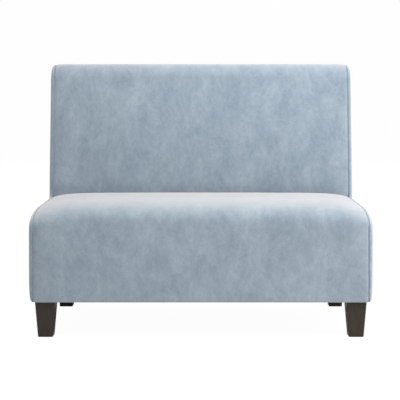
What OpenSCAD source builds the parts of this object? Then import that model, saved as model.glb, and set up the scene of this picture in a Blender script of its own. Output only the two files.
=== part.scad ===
// Armless restaurant booth: a timber frame on four tapered legs, a sprung seat
// with a rounded front edge and a leaning, webbed and padded back.
// It stands on the floor at z = 0, faces -Y and is as wide as it is long along X.
// Left is -X. Depths are counted from the front of the seat and moved to the
// middle of the booth by placed().

/* [Overall] */
// Width over the padded sides
booth_w = 1219; // [900:1:1800]
// Height of the top of the back
booth_h = 993.5; // [900:0.5:1150]

/* [Seat] */
// Height of the seat's crown
seat_h = 475; // [445:1:510]
// Depth of the seat in front of the back
seat_d = 510; // [460:1:560]
// Depth of the rounded front edge
nose_d = 240; // [180:1:260]
// Height of the rounded front edge
nose_h = 89; // [70:1:100]
// How much lower the seat is at its side seams
seat_drop = 22; // [10:1:30]
// Thickness of the seat's foam at the middle of the springs
seat_foam_t = 95; // [80:1:105]
// How far the padded sides stand out from the side seams
side_puff = 16.5; // [12:0.5:22]

/* [Back] */
// Depth of the back where it meets the seat
back_d = 190; // [175:1:260]
// Angle by which the back leans
back_rake = 5.6; // [2:0.1:7]
// Radius of the top's rounded front edge
front_round = 48; // [36:1:60]
// Radius of the top's rounded rear edge
rear_round = 40; // [34:1:50]
// Thickness of the back's foam
back_foam_t = 60; // [45:1:70]
// How far the middle of the back stands out
back_crown = 6; // [0:0.5:10]

/* [Legs] */
// Height of a leg without its glide
leg_h = 125.5; // [90:0.5:180]
// Side of a leg at its top
leg_top = 67.5; // [60:0.5:76]
// Side of a leg at its foot
leg_foot = 50; // [42:1:58]
// How far a glide stands out of its leg when screwed in
glide_proud = 1.5; // [1:0.5:4]
// How far a glide can be screwed out
glide_travel = 8; // [4:1:12]

/* [Frame] */
// Thickness of the plywood end frames
board_t = 18; // [15:1:22]
// Thickness of the timber rails
rail_t = 20; // [18:1:24]
// Number of sinuous springs
spring_count = 7; // [5:1:8]
// Rise of the springs over the rails
spring_rise = 16; // [10:1:22]
// Diameter of the spring wire
wire_d = 3.8; // [3:0.1:4.2]

/* [Hidden] */
$fn = 48;

// Gap between soft pieces, or between a soft piece and what carries it
soft_gap = 0.3;
// How far a cut runs past what it cuts
overrun = 1;

// Cloth and piping
cloth_t = 1.5;
dust_t = 1.5;
piping_d = 4;
piping_proud = 1;
piping_sides = 6;
hem_d = 28;
hem_round = 4;

// How the seat's surface falls towards the side seams
seat_bow = 3;
seat_fall = 50;
seat_rise_share = 0.01;
front_drop = 4;
front_fall = 14;
seat_rear_round = 14;
nose_power = 3;
nose_soften = 0.6;
nose_fall = 70;
nose_step = 11.25;

// How the back's surface falls towards the side seams
top_drop = 7;
top_fall = 16;
back_drop = 4;
back_fall = 16;
crown_fall = 80;
foot_blend = 40;
round_step = 17;
turn_down = 20;

// Padded sides
puff_reach = 32;
puff_shares = [0, 0.08, 0.25, 0.55, 1];
side_middle_y_share = 0.86;
side_middle_z_share = 0.3;

// Places along the width and the depth where the soft surfaces are worked out
width_shares = [-1, -0.985, -0.96, -0.92, -0.85, -0.72, -0.5, -0.25, 0,
    0.25, 0.5, 0.72, 0.85, 0.92, 0.96, 0.985, 1];
seat_top_shares = [0.9, 0.5, 0.2];
face_shares = [0.85, 0.65, 0.42, 0.2, 0.07];
front_share = 0.5;
bottom_shares = [0.85, 0.6, 0.35, 0.12];
rear_shares = [0.7, 0.35];

// Front padding, measured with the cloth
front_pad_t = 13.5;

// Springs and what holds them
spring_bars = 17;
spring_w = 50;
bend_step = 45;
wire_sides = 6;
clip_w = 14;
clip_d = 12;
clip_wall = 1.2;
clip_clearance = 0.1;
pad_t = 6;
tie_d = 2.4;
tie_shares = [0.34, 0.66];
spring_rail_h = 60;

// Rails of the back and the outer back
back_rail_t = 22;
back_rail_h = 60;
back_rail_drop = 20;
bottom_rail_h = 60;
top_pad_t = 32;
outer_t = 3;
outer_board_t = 5;
outer_margin = 4;

// Webbing
web_t = 1.6;
web_w = 50;
web_gap = 0.2;
web_ramp = 12;
web_staple = 30;
web_columns = [-2, -1, 0, 1, 2];
web_column_share = 0.38;
web_row_shares = [0.14, 0.38, 0.62, 0.86];

// Blocks, nuts and bolts over the legs
leg_in_x = 58;
leg_in_front = 47;
leg_in_rear = 70;
leg_chamfer = 2;
block_w = 78;
block_t = 32;
block_cut = 42;
bolt_d = 8;
bolt_in_leg = 40;
bolt_clearance = 0.1;
tee_d = 19;
tee_t = 1.5;
tee_barrel_d = 10.5;
tee_barrel_h = 12;
bolt_over_nut = 5;

// Levelling glides
glide_d = 28;
glide_t = 5;
glide_dish = 1;
stem_d = 8;
insert_d = 12;
insert_l = 16;
stem_clearance = 0.05;
foot_clearance = 0.5;
stem_spare = 5.5;
stem_l = foot_clearance + insert_l + glide_travel + stem_spare;
stem_room = 3;

// Heights
base_z = glide_proud + leg_h;
frame_z = base_z + dust_t + soft_gap;
pad_top_z = seat_h - cloth_t - seat_foam_t - 2 * soft_gap;
wire_top_z = pad_top_z - pad_t - soft_gap - wire_d / 2;
wire_end_z = wire_top_z - spring_rise;
rail_z = wire_end_z - wire_d / 2 - clip_clearance - clip_wall;
nose_z = seat_h - nose_h;
foot_z = seat_h - seat_drop;
back_frame_z = booth_h - top_pad_t;

// Places along the width
half_w = booth_w / 2;
seam_x = half_w - side_puff;
cover_x = seam_x - piping_d / 2 - soft_gap;
panel_x = seam_x + piping_d / 2 + soft_gap;
end_x = panel_x - soft_gap;
end_in_x = end_x - board_t;
leg_x = half_w - leg_in_x;

// Places along the depth
booth_d = seat_d + back_d;
rail_y0 = front_pad_t;
rail_y1 = rail_y0 + rail_t;
seat_back_y = seat_d - soft_gap / 2;
spring_rail_y1 = seat_back_y - cloth_t - soft_gap;
spring_rail_y0 = spring_rail_y1 - rail_t;
back_rear_y = booth_d - outer_t;
board_y1 = back_rear_y - cloth_t - soft_gap;
board_y0 = board_y1 - outer_board_t;
bottom_rail_y0 = board_y0 - rail_t;
web_depth = 2 * web_t + 2 * web_gap;
frame_y0 = seat_d + (cloth_t + 2 * soft_gap + back_foam_t + web_depth) / cos(back_rake);
front_leg_y = leg_in_front;
rear_leg_y = booth_d - leg_in_rear;

// The springs lie on an arc between the two clip rows
bar_y0 = rail_y1 - clip_d / 2;
bar_y1 = spring_rail_y0 + clip_d / 2;
arc_y = (bar_y0 + bar_y1) / 2;
arc_half = (bar_y1 - bar_y0) / 2;
arc_r = (pow(arc_half, 2) + pow(spring_rise, 2)) / (2 * spring_rise);
arc_z = wire_top_z - arc_r;
arc_angle = asin(arc_half / arc_r);
function arc_height(y, off) = arc_z + sqrt(pow(arc_r + off, 2) - pow(y - arc_y, 2));
pad_y0 = rail_y1 + soft_gap;
pad_y1 = spring_rail_y0 - soft_gap;
pad_off = wire_d / 2 + soft_gap;
function foam_under(y) = arc_height(min(max(y, pad_y0), pad_y1), pad_off + pad_t + soft_gap);
foam_low_z = foam_under(0);
end_top_z = foam_low_z - soft_gap;

function mix(a, b, share) = a + (b - a) * share;
function reversed(list) = [for (i = [len(list) - 1 : -1 : 0]) list[i]];

// Moves what is drawn from the front of the seat to the middle of the booth
module placed() translate([0, -booth_d / 2, 0]) children();

// Extrudes a drawing of the Y-Z plane along X, centred
module along_x(length) rotate([90, 0, 90]) linear_extrude(length, center = true) children();

// Stands in the plane of the back's frame: Z up its slope, Y into its depth
module raked() translate([0, frame_y0, foot_z]) rotate([-back_rake, 0, 0]) children();

module box(low, high) translate(low) cube(high - low);

// A closed body between two sheets of points with the same rows and columns
module slab(outer, inner) {
    rows = len(outer);
    cols = len(outer[0]);
    count = rows * cols;
    function at(r, c) = r * cols + c;
    rim = concat(
        [for (r = [0 : rows - 2]) at(r, 0)],
        [for (c = [0 : cols - 2]) at(rows - 1, c)],
        [for (r = [rows - 1 : -1 : 1]) at(r, cols - 1)],
        [for (c = [cols - 1 : -1 : 1]) at(0, c)]
    );
    sheet = [for (r = [0 : rows - 2], c = [0 : cols - 2]) each [
        [at(r, c), at(r + 1, c), at(r + 1, c + 1)],
        [at(r, c), at(r + 1, c + 1), at(r, c + 1)]
    ]];
    edges = [for (i = [0 : len(rim) - 1]) let (a = rim[i], b = rim[(i + 1) % len(rim)]) each [
        [b, a, a + count],
        [b, a + count, b + count]
    ]];
    back = [for (f = sheet) [f[2] + count, f[1] + count, f[0] + count]];
    polyhedron(concat([for (r = outer) each r], [for (r = inner) each r]), concat(sheet, edges, back));
}

// A closed tube through rings with the same number of points
module tube(rings) {
    count = len(rings);
    sides = len(rings[0]);
    walls = [for (i = [0 : count - 2], k = [0 : sides - 1]) let (
        a = i * sides + k,
        b = i * sides + (k + 1) % sides
    ) each [[a, b, b + sides], [a, b + sides, a + sides]]];
    first = [for (k = [1 : sides - 2]) [0, k + 1, k]];
    last = [for (k = [1 : sides - 2]) [0, k, k + 1]];
    end = (count - 1) * sides;
    ends = concat(first, [for (f = last) [f[0] + end, f[1] + end, f[2] + end]]);
    polyhedron([for (ring = rings) each ring], concat(walls, ends));
}

// Fall of a soft surface at x, from 1 at the side seam to 0 in the middle
function edge_fall(x, reach) = exp(-(seam_x - abs(x)) / reach);
function width_places() = [for (s = width_shares) s * cover_x];

// The seat's outline at x, laid in by a depth: from the rear to the front
function seat_low(x) = (seat_drop - seat_bow) * edge_fall(x, seat_fall) + seat_bow * pow(x / seam_x, 2);
function seat_top_z(x, y, in) = seat_h - in - seat_low(x) + seat_rise_share * max(0, y - nose_d);
function front_y(x, in) = in + front_drop * edge_fall(x, front_fall);
function seat_rear(x, in) = let (
    y = seat_back_y - in,
    r = seat_rear_round,
    z = seat_top_z(x, y, in)
) [[y, z - r], [y - r * (1 - sin(45)), z - r * (1 - cos(45))], [y - r, z]];
function seat_top(x, in) = [for (s = seat_top_shares) let (
    y = mix(nose_d, seat_back_y - in - seat_rear_round, s)
) [y, seat_top_z(x, y, in)]];
function seat_nose(x, in) = let (
    front = front_y(x, in),
    power = nose_power - nose_soften * edge_fall(x, nose_fall),
    rise = nose_h - in - seat_low(x)
) [for (turn = [90 : -nose_step : 0]) [
    nose_d - (nose_d - front) * pow(cos(turn), 2 / power),
    nose_z + rise * pow(sin(turn), 2 / power)
]];
function seat_front(x, in) = let (y = front_y(x, in)) [
    [y, mix(base_z, nose_z, front_share)],
    [y, base_z + hem_round],
    [y + hem_round, base_z + in],
    [hem_d, base_z + in]
];
function seat_sheet(in) = [for (x = width_places()) [
    for (p = concat(
        [[seat_back_y - in, foam_low_z]],
        seat_rear(x, in), seat_top(x, in), seat_nose(x, in), seat_front(x, in)
    )) [x, p[0], p[1]]
]];

// The back's outline at x, laid in by a depth: from the rear over the top and down
function back_top_z(x, in) = booth_h - in - top_drop * edge_fall(x, top_fall);
function crown(x, z) = let (share = min(max(0, z - seat_h) / (booth_h - seat_h), 1))
    back_crown * sin(180 * share) * (1 - edge_fall(x, crown_fall));
function back_face_y(x, z, in) = let (up = max(0, z - foot_z))
    seat_d + soft_gap / 2 + in / cos(back_rake) + up * tan(back_rake) - crown(x, z)
    + back_drop * edge_fall(x, back_fall) * min(1, up / foot_blend);
function back_rear(x, in, rear_y) = let (r = rear_round - in, z = back_top_z(x, in) - r) [
    for (turn = [0 : 22.5 : 90]) [rear_y - in - r * (1 - cos(turn)), z + r * sin(turn)]
];
function back_round_z(x, in) = back_top_z(x, in) - (front_round - in) * (1 - sin(back_rake));
function back_round(x, in) = let (
    r = front_round - in,
    z = back_top_z(x, in) - r,
    y = back_face_y(x, back_round_z(x, in), in) + r * cos(back_rake)
) [for (turn = [90 : -round_step : back_rake]) [y - r * cos(turn), z + r * sin(turn)]];
function back_face(x, in) = [for (s = face_shares) let (
    z = mix(foot_z, back_round_z(x, in), s)
) [back_face_y(x, z, in), z]];
function back_sheet(in) = [for (x = width_places()) [
    for (p = concat(
        [[back_rear_y - in, back_top_z(x, in) - rear_round - turn_down]],
        back_rear(x, in, back_rear_y), back_round(x, in), back_face(x, in),
        [[back_face_y(x, foot_z, in), foot_z], [back_face_y(x, foot_z, in), foam_low_z]]
    )) [x, p[0], p[1]]
]];

// Upholstery of the seat
module seat_cover() color([0.66, 0.73, 0.79]) placed() slab(seat_sheet(0), seat_sheet(cloth_t));

module seat_foam() color([0.93, 0.87, 0.66]) placed() {
    in = cloth_t + soft_gap;
    top = [for (x = width_places()) [
        for (p = concat(seat_rear(x, in), seat_top(x, in), seat_nose(x, in))) [x, p[0], p[1]]
    ]];
    steps = len(top[0]) - 1;
    under = [for (x = width_places()) [
        for (i = [0 : steps]) let (y = mix(seat_back_y - in, front_y(x, in), i / steps))
            [x, y, foam_under(y)]
    ]];
    slab(top, under);
}

module front_padding() color([0.9, 0.9, 0.88]) placed() {
    in = cloth_t + soft_gap;
    rows = [
        [0, foam_low_z - soft_gap],
        [0, mix(base_z, nose_z, front_share)],
        [0, base_z + hem_round],
        [hem_round, base_z + in]
    ];
    slab(
        [for (x = width_places()) [for (r = rows) [x, front_y(x, in) + r[0], r[1]]]],
        [for (x = width_places()) [for (r = rows) [x, rail_y0 - soft_gap, r[1]]]]
    );
}

module edge_roll() color([0.85, 0.83, 0.76]) placed()
    box([-end_in_x, rail_y0, rail_z], [end_in_x, rail_y1 - clip_d - soft_gap, end_top_z]);

module spring_pad() color([0.35, 0.34, 0.32]) placed() {
    stops = [for (s = [0 : 1 / spring_bars : 1]) mix(pad_y0, pad_y1, s)];
    along_x(2 * (end_in_x - soft_gap)) polygon(concat(
        [for (y = stops) [y, arc_height(y, pad_off)]],
        [for (y = reversed(stops)) [y, arc_height(y, pad_off + pad_t)]]
    ));
}

// Springs: each wire runs to and fro in bars joined by round bends, on the arc
spring_pitch = 2 * (end_in_x - spring_w / 2) / spring_count;
function spring_x(i) = (i - (spring_count - 1) / 2) * spring_pitch;
bar_turn = 2 * arc_angle / (spring_bars - 1);
bend_r = arc_r * sin(bar_turn / 2);
bar_half = spring_w / 2 - bend_r - wire_d / 2;
function wire_ring(x, turn, heading) = let (
    centre = [x, arc_y + arc_r * sin(turn), arc_z + arc_r * cos(turn)],
    up = [0, sin(turn), cos(turn)],
    ahead = [sin(heading), cos(heading) * cos(turn), -cos(heading) * sin(turn)],
    side = cross(ahead, up)
) [for (k = [0 : wire_sides - 1]) let (a = 360 * k / wire_sides)
    centre + wire_d / 2 * (cos(a) * up + sin(a) * side)];
function wire_rings() = concat(
    [wire_ring(-bar_half, -arc_angle, 90)],
    [for (k = [0 : spring_bars - 2]) let (side = k % 2 == 0 ? 1 : -1)
        for (bend = [-90 : bend_step : 90]) wire_ring(
            side * (bar_half + bend_r * cos(bend)),
            -arc_angle + bar_turn * (k + 0.5 + sin(bend) / 2),
            -side * bend
        )],
    [wire_ring(spring_bars % 2 == 1 ? bar_half : -bar_half, arc_angle, 90)]
);
module seat_springs() color([0.55, 0.56, 0.58]) placed()
    for (i = [0 : spring_count - 1]) translate([spring_x(i), 0, 0]) tube(wire_rings());

module spring_clips() color([0.7, 0.7, 0.72]) placed() {
    wall = clip_clearance + clip_wall;
    for (i = [0 : spring_count - 1], y = [bar_y0, bar_y1]) translate([spring_x(i), y, wire_end_z])
        difference() {
            translate([-clip_w / 2, -clip_d / 2, -wire_d / 2 - wall]) cube([clip_w, clip_d, wire_d + 2 * wall]);
            rotate([0, 90, 0])
                cylinder(d = wire_d + 2 * clip_clearance, h = clip_w + 2 * overrun, center = true);
        }
}

module spring_tie_wires() color([0.75, 0.72, 0.62]) placed()
    for (s = tie_shares) let (y = mix(bar_y0, bar_y1, s))
        translate([0, y, arc_height(y, -wire_d / 2 - soft_gap - tie_d / 2)])
            rotate([0, 90, 0]) cylinder(d = tie_d, h = 2 * end_in_x, center = true);

// Padded sides: the outline runs up the front, along the seat, up the back and down the rear
function side_outline() = concat(
    [[front_y(seam_x, 0), base_z], [front_y(seam_x, 0), mix(base_z, nose_z, front_share)]],
    reversed(seat_nose(seam_x, 0)),
    reversed(seat_top(seam_x, 0)),
    [[seat_d, seat_top_z(seam_x, seat_d, 0)]],
    reversed(back_face(seam_x, 0)),
    reversed(back_round(seam_x, 0)),
    reversed(back_rear(seam_x, 0, booth_d)),
    [for (s = rear_shares) [booth_d, mix(base_z, booth_h, s)]],
    [[booth_d, base_z]],
    [for (s = bottom_shares) [booth_d * s, base_z]]
);
function inward(list, i) = let (
    n = len(list),
    before = list[i] - list[(i + n - 1) % n],
    after = list[(i + 1) % n] - list[i],
    a = [before[1], -before[0]] / norm(before),
    b = [after[1], -after[0]] / norm(after)
) (a + b) / (1 + a * b);
module side_panel() placed() {
    outline = side_outline();
    n = len(outline);
    rings = [for (s = puff_shares) let (out = (half_w - panel_x - cloth_t) * sqrt(1 - pow(1 - s, 2)))
        [for (i = [0 : n - 1]) let (p = outline[i] + puff_reach * s * inward(outline, i))
            [panel_x + cloth_t + out, p[0], p[1]]]];
    middle = [booth_d * side_middle_y_share, booth_h * side_middle_z_share];
    layers = concat([[for (p = outline) [panel_x, p[0], p[1]]]], rings);
    last = (len(layers) - 1) * n;
    points = concat(
        [for (ring = layers) each ring],
        [[half_w, middle[0], middle[1]], [panel_x, middle[0], middle[1]]]
    );
    walls = [for (m = [0 : len(layers) - 2], i = [0 : n - 1]) let (
        a = m * n + i,
        b = m * n + (i + 1) % n
    ) each [[a, b, b + n], [a, b + n, a + n]]];
    front = [for (i = [0 : n - 1]) [last + i, last + (i + 1) % n, len(points) - 2]];
    rear = [for (i = [0 : n - 1]) [(i + 1) % n, i, len(points) - 1]];
    polyhedron(points, concat(walls, front, rear));
}
module right_side_panel() color([0.62, 0.7, 0.77]) side_panel();
module left_side_panel() color([0.62, 0.7, 0.77]) mirror([1, 0, 0]) side_panel();

// Piping in the groove between a cover and a padded side
function piping_ring(path, i) = let (
    n = len(path),
    along = path[min(i + 1, n - 1)] - path[max(i - 1, 0)],
    out = [-along[1], along[0]] / norm(along)
) [for (k = [0 : piping_sides - 1]) let (a = 360 * k / piping_sides) [
    seam_x + piping_d / 2 * sin(a),
    path[i][0] + piping_d / 2 * cos(a) * out[0],
    path[i][1] + piping_d / 2 * cos(a) * out[1]
]];
piping_in = piping_d / 2 - piping_proud;
function seat_piping_path() = concat(
    [[front_y(seam_x, piping_in), base_z], [front_y(seam_x, piping_in), mix(base_z, nose_z, front_share)]],
    reversed(seat_nose(seam_x, piping_in)),
    reversed(seat_top(seam_x, piping_in)),
    [let (y = seat_d - piping_d / 2 - soft_gap) [y, seat_top_z(seam_x, y, piping_in)]]
);
function back_piping_path() = concat(
    [let (z = foot_z + piping_d + soft_gap) [back_face_y(seam_x, z, piping_in), z]],
    reversed(back_face(seam_x, piping_in)),
    reversed(back_round(seam_x, piping_in)),
    reversed(back_rear(seam_x, piping_in, booth_d - piping_proud)),
    [[booth_d - piping_proud - piping_in, base_z]]
);
module piping(path) placed() tube([for (i = [0 : len(path) - 1]) piping_ring(path, i)]);
module seat_right_piping() color([0.6, 0.68, 0.75]) piping(seat_piping_path());
module seat_left_piping() color([0.6, 0.68, 0.75]) mirror([1, 0, 0]) piping(seat_piping_path());
module back_right_piping() color([0.6, 0.68, 0.75]) piping(back_piping_path());
module back_left_piping() color([0.6, 0.68, 0.75]) mirror([1, 0, 0]) piping(back_piping_path());

// Upholstery of the back
module back_cover() color([0.68, 0.75, 0.8]) placed() slab(back_sheet(0), back_sheet(cloth_t));

function frame_front_y(z, off) = frame_y0 + off / cos(back_rake) + (z - foot_z) * tan(back_rake);
module back_foam() color([0.93, 0.87, 0.66]) placed() {
    in = cloth_t + soft_gap;
    top_z = back_frame_z + soft_gap;
    off = -web_depth - soft_gap;
    corner_y = frame_front_y(top_z, off);
    rear_y = back_rear_y - in - rear_round;
    outer = [for (x = width_places()) [for (p = concat(
        [[rear_y, back_top_z(x, in)]], back_round(x, in), back_face(x, in),
        [[back_face_y(x, foot_z, in), foot_z], [back_face_y(x, foot_z, in), foam_low_z]]
    )) [x, p[0], p[1]]]];
    rounds = len(back_round(0, in));
    inner_row = concat(
        [[rear_y, top_z]],
        [for (i = [0 : rounds - 1]) let (share = i / (rounds - 1)) share < 0.5
            ? [mix(mix(rear_y, corner_y, 0.4), corner_y, 2 * share), top_z]
            : let (z = mix(top_z, top_z - front_round, 2 * share - 1)) [frame_front_y(z, off), z]],
        [for (s = face_shares) let (z = mix(foot_z, top_z - front_round, s)) [frame_front_y(z, off), z]],
        [[frame_front_y(foot_z, off), foot_z], [frame_front_y(foam_low_z, off), foam_low_z]]
    );
    slab(outer, [for (x = width_places()) [for (p = inner_row) [x, p[0], p[1]]]]);
}

// A strap that passes over and under the straps that cross it, drawn along its length
function strap_line(from, to, crossings, first) = concat(
    [[from, 0]],
    [for (i = [0 : len(crossings) - 1]) let (layer = (i + first) % 2) each [
        [crossings[i] - web_w / 2 - web_ramp, layer],
        [crossings[i] + web_w / 2 + web_ramp, layer]
    ]],
    [[to, 0]]
);
function strap_outline(line) = concat(
    [for (p = line) [p[0], -web_gap - p[1] * (web_t + web_gap)]],
    [for (p = reversed(line)) [p[0], -web_gap - web_t - p[1] * (web_t + web_gap)]]
);
slope_l = (back_frame_z - foot_z) / cos(back_rake);
web_rows = [for (s = web_row_shares) s * slope_l];
web_xs = [for (c = web_columns) c * web_column_share * end_in_x];
module back_webbing() color([0.25, 0.22, 0.2]) placed() raked() {
    low = -back_rail_drop - back_rail_h + web_staple / 2;
    high = slope_l - web_staple / 2;
    for (i = [0 : len(web_xs) - 1]) translate([web_xs[i], 0, 0])
        rotate([90, 0, 90]) linear_extrude(web_w, center = true)
            polygon([for (p = strap_outline(strap_line(low, high, web_rows, i % 2))) [p[1], p[0]]]);
    for (j = [0 : len(web_rows) - 1]) translate([0, 0, web_rows[j]])
        linear_extrude(web_w, center = true)
            polygon(strap_outline(strap_line(-end_x + board_t / 2, end_x - board_t / 2, web_xs, (j + 1) % 2)));
}

module outer_back_board() color([0.62, 0.5, 0.36]) placed()
    box([-end_x, board_y0, frame_z], [end_x, board_y1, back_frame_z - rear_round]);

module outer_back_panel() color([0.64, 0.71, 0.77]) placed() {
    top_z = back_top_z(seam_x, 0) - rear_round - outer_margin;
    step_z = top_z - turn_down;
    along_x(2 * cover_x) polygon([
        [board_y1 + soft_gap, base_z],
        [booth_d - outer_margin / 2, base_z],
        [booth_d, base_z + outer_margin],
        [booth_d, top_z - outer_margin],
        [booth_d - outer_margin / 2, top_z],
        [back_rear_y + soft_gap, top_z],
        [back_rear_y + soft_gap, step_z],
        [board_y1 + soft_gap, step_z]
    ]);
}

module dust_cover() color([0.1, 0.1, 0.1]) difference() {
    placed() box([-end_x, hem_d + soft_gap, base_z], [end_x, board_y1, base_z + dust_t]);
    at_legs() translate([0, 0, base_z - overrun])
        cylinder(d = bolt_d + 2 * bolt_clearance, h = dust_t + 2 * overrun);
}

// Timber of the frame
module end_frame() placed() translate([end_x - board_t / 2, 0, 0]) along_x(board_t) polygon([
    [rail_y0, frame_z],
    [rail_y0, end_top_z],
    [frame_front_y(end_top_z, 0), end_top_z],
    [frame_front_y(back_frame_z, 0), back_frame_z],
    [board_y0, back_frame_z],
    [board_y0, frame_z]
]);
module right_end_frame() color([0.82, 0.7, 0.5]) end_frame();
module left_end_frame() color([0.82, 0.7, 0.5]) mirror([1, 0, 0]) end_frame();

centre_top_z = rail_z - spring_rail_h;
module centre_frame() color([0.82, 0.7, 0.5]) placed() along_x(board_t) polygon([
    [rail_y1, frame_z],
    [rail_y1, centre_top_z],
    [frame_front_y(centre_top_z, back_rail_t), centre_top_z],
    [frame_front_y(back_frame_z, back_rail_t), back_frame_z],
    [board_y0, back_frame_z],
    [board_y0, frame_z + bottom_rail_h],
    [bottom_rail_y0, frame_z + bottom_rail_h],
    [bottom_rail_y0, frame_z]
]);

module front_rail() color([0.78, 0.64, 0.44]) placed()
    box([-end_in_x, rail_y0, frame_z], [end_in_x, rail_y1, rail_z]);
module spring_rail() color([0.78, 0.64, 0.44]) placed()
    box([-end_in_x, spring_rail_y0, centre_top_z], [end_in_x, spring_rail_y1, rail_z]);
module rear_bottom_rail() color([0.78, 0.64, 0.44]) placed()
    box([-end_in_x, bottom_rail_y0, frame_z], [end_in_x, board_y0, frame_z + bottom_rail_h]);
module back_rail(top) placed() raked()
    box([-end_in_x, 0, top - back_rail_h], [end_in_x, back_rail_t, top]);
module back_lower_rail() color([0.78, 0.64, 0.44]) back_rail(-back_rail_drop);
module back_top_rail() color([0.78, 0.64, 0.44]) back_rail(slope_l);

// Blocks, nuts and bolts over the legs
block_z = frame_z + block_t;
module at_legs() placed() for (side = [-1, 1], y = [front_leg_y, rear_leg_y])
    translate([side * leg_x, y, 0]) children();

module corner_block(y, turn) translate([end_in_x, y, frame_z]) linear_extrude(block_t) polygon([
    [0, 0],
    [0, turn * block_w],
    [-block_cut, turn * block_w],
    [-block_w, turn * block_cut],
    [-block_w, 0]
]);
module corner_blocks() color([0.85, 0.74, 0.55]) difference() {
    placed() for (side = [0, 1]) mirror([side, 0, 0]) {
        corner_block(rail_y1, 1);
        corner_block(bottom_rail_y0, -1);
    }
    at_legs() {
        translate([0, 0, frame_z - overrun])
            cylinder(d = bolt_d + 2 * bolt_clearance, h = block_t + 2 * overrun);
        translate([0, 0, block_z - tee_barrel_h - bolt_clearance])
            cylinder(d = tee_barrel_d + 2 * bolt_clearance, h = tee_barrel_h + overrun);
    }
}
module tee_nuts() color([0.75, 0.75, 0.78]) at_legs() difference() {
    union() {
        translate([0, 0, block_z]) cylinder(d = tee_d, h = tee_t);
        translate([0, 0, block_z - tee_barrel_h]) cylinder(d = tee_barrel_d, h = tee_barrel_h);
    }
    translate([0, 0, block_z - tee_barrel_h - overrun])
        cylinder(d = bolt_d + 2 * bolt_clearance, h = tee_barrel_h + tee_t + 2 * overrun);
}
module hanger_bolts() color([0.7, 0.7, 0.73]) at_legs()
    translate([0, 0, base_z - bolt_in_leg])
        cylinder(d = bolt_d, h = bolt_in_leg + block_z - base_z + tee_t + bolt_over_nut);

// Legs: square tapered posts with eased corners, bored for the bolt and the glide
leg_z = glide_proud;
module taper(foot, top) rotate([90, 0, 0]) linear_extrude(2 * leg_top, center = true) polygon([
    [-foot / 2, leg_z],
    [foot / 2, leg_z],
    [top / 2, base_z],
    [-top / 2, base_z]
]);
module leg(side, y) color([0.2, 0.16, 0.13]) placed() translate([side * leg_x, y, 0]) difference() {
    intersection() {
        taper(leg_foot, leg_top);
        rotate([0, 0, 90]) taper(leg_foot, leg_top);
        rotate([0, 0, 45])
            taper((leg_foot - leg_chamfer) * sqrt(2), (leg_top - leg_chamfer) * sqrt(2));
        rotate([0, 0, -45])
            taper((leg_foot - leg_chamfer) * sqrt(2), (leg_top - leg_chamfer) * sqrt(2));
    }
    translate([0, 0, base_z - bolt_in_leg - bolt_clearance])
        cylinder(d = bolt_d + 2 * bolt_clearance, h = bolt_in_leg + overrun);
    translate([0, 0, leg_z - overrun])
        cylinder(d = glide_d + 2 * foot_clearance, h = overrun + glide_t - glide_proud + foot_clearance);
    translate([0, 0, leg_z])
        cylinder(d = insert_d, h = insert_base - leg_z + insert_l);
    translate([0, 0, leg_z])
        cylinder(d = stem_d + 2 * foot_clearance, h = glide_t + stem_l + stem_room - leg_z);
}
module front_left_leg() leg(-1, front_leg_y);
module front_right_leg() leg(1, front_leg_y);
module rear_left_leg() leg(-1, rear_leg_y);
module rear_right_leg() leg(1, rear_leg_y);

insert_base = glide_t + foot_clearance;
module leg_inserts() color([0.8, 0.7, 0.42]) at_legs() translate([0, 0, insert_base]) difference() {
    cylinder(d = insert_d, h = insert_l);
    translate([0, 0, -overrun])
        cylinder(d = stem_d + 2 * stem_clearance, h = insert_l + 2 * overrun);
}

// Levelling glides: a foot on a threaded stem that screws into its insert
module glide_foot(side, y) color([0.12, 0.12, 0.13]) placed() translate([side * leg_x, y, 0]) {
    cylinder(d1 = glide_d - 2 * glide_dish, d2 = glide_d, h = glide_dish);
    translate([0, 0, glide_dish]) cylinder(d = glide_d, h = glide_t - glide_dish);
}
module glide_stem(side, y) color([0.75, 0.75, 0.78]) placed()
    translate([side * leg_x, y, glide_t]) cylinder(d = stem_d, h = stem_l);
module front_left_glide_foot() glide_foot(-1, front_leg_y);
module front_right_glide_foot() glide_foot(1, front_leg_y);
module rear_left_glide_foot() glide_foot(-1, rear_leg_y);
module rear_right_glide_foot() glide_foot(1, rear_leg_y);
module front_left_glide_stem() glide_stem(-1, front_leg_y);
module front_right_glide_stem() glide_stem(1, front_leg_y);
module rear_left_glide_stem() glide_stem(-1, rear_leg_y);
module rear_right_glide_stem() glide_stem(1, rear_leg_y);

front_rail();
spring_rail();
rear_bottom_rail();
back_lower_rail();
back_top_rail();
left_end_frame();
right_end_frame();
centre_frame();
corner_blocks();
tee_nuts();
hanger_bolts();
leg_inserts();
front_left_leg();
front_right_leg();
rear_left_leg();
rear_right_leg();
front_left_glide_foot();
front_right_glide_foot();
rear_left_glide_foot();
rear_right_glide_foot();
front_left_glide_stem();
front_right_glide_stem();
rear_left_glide_stem();
rear_right_glide_stem();
seat_springs();
spring_clips();
spring_tie_wires();
spring_pad();
edge_roll();
seat_foam();
front_padding();
seat_cover();
left_side_panel();
right_side_panel();
seat_left_piping();
seat_right_piping();
back_left_piping();
back_right_piping();
back_webbing();
back_foam();
back_cover();
outer_back_board();
outer_back_panel();
dust_cover();
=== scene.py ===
# %% [markdown]
# # A restaurant booth in pale blue velvet
# A two-seat booth without arms: a sprung seat with a rounded front edge, a leaning
# padded back, a padded panel on each end and four dark tapered legs.
# The timber, the springs and the bolts come from the measured frame and only get
# finishes here. Everything soft is made anew, because foam and velvet need
# smoother and fuller forms than a construction model has.

# %% Load the measured frame
import math

import bmesh
import bpy
from mathutils import Matrix, Vector, kdtree


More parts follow.
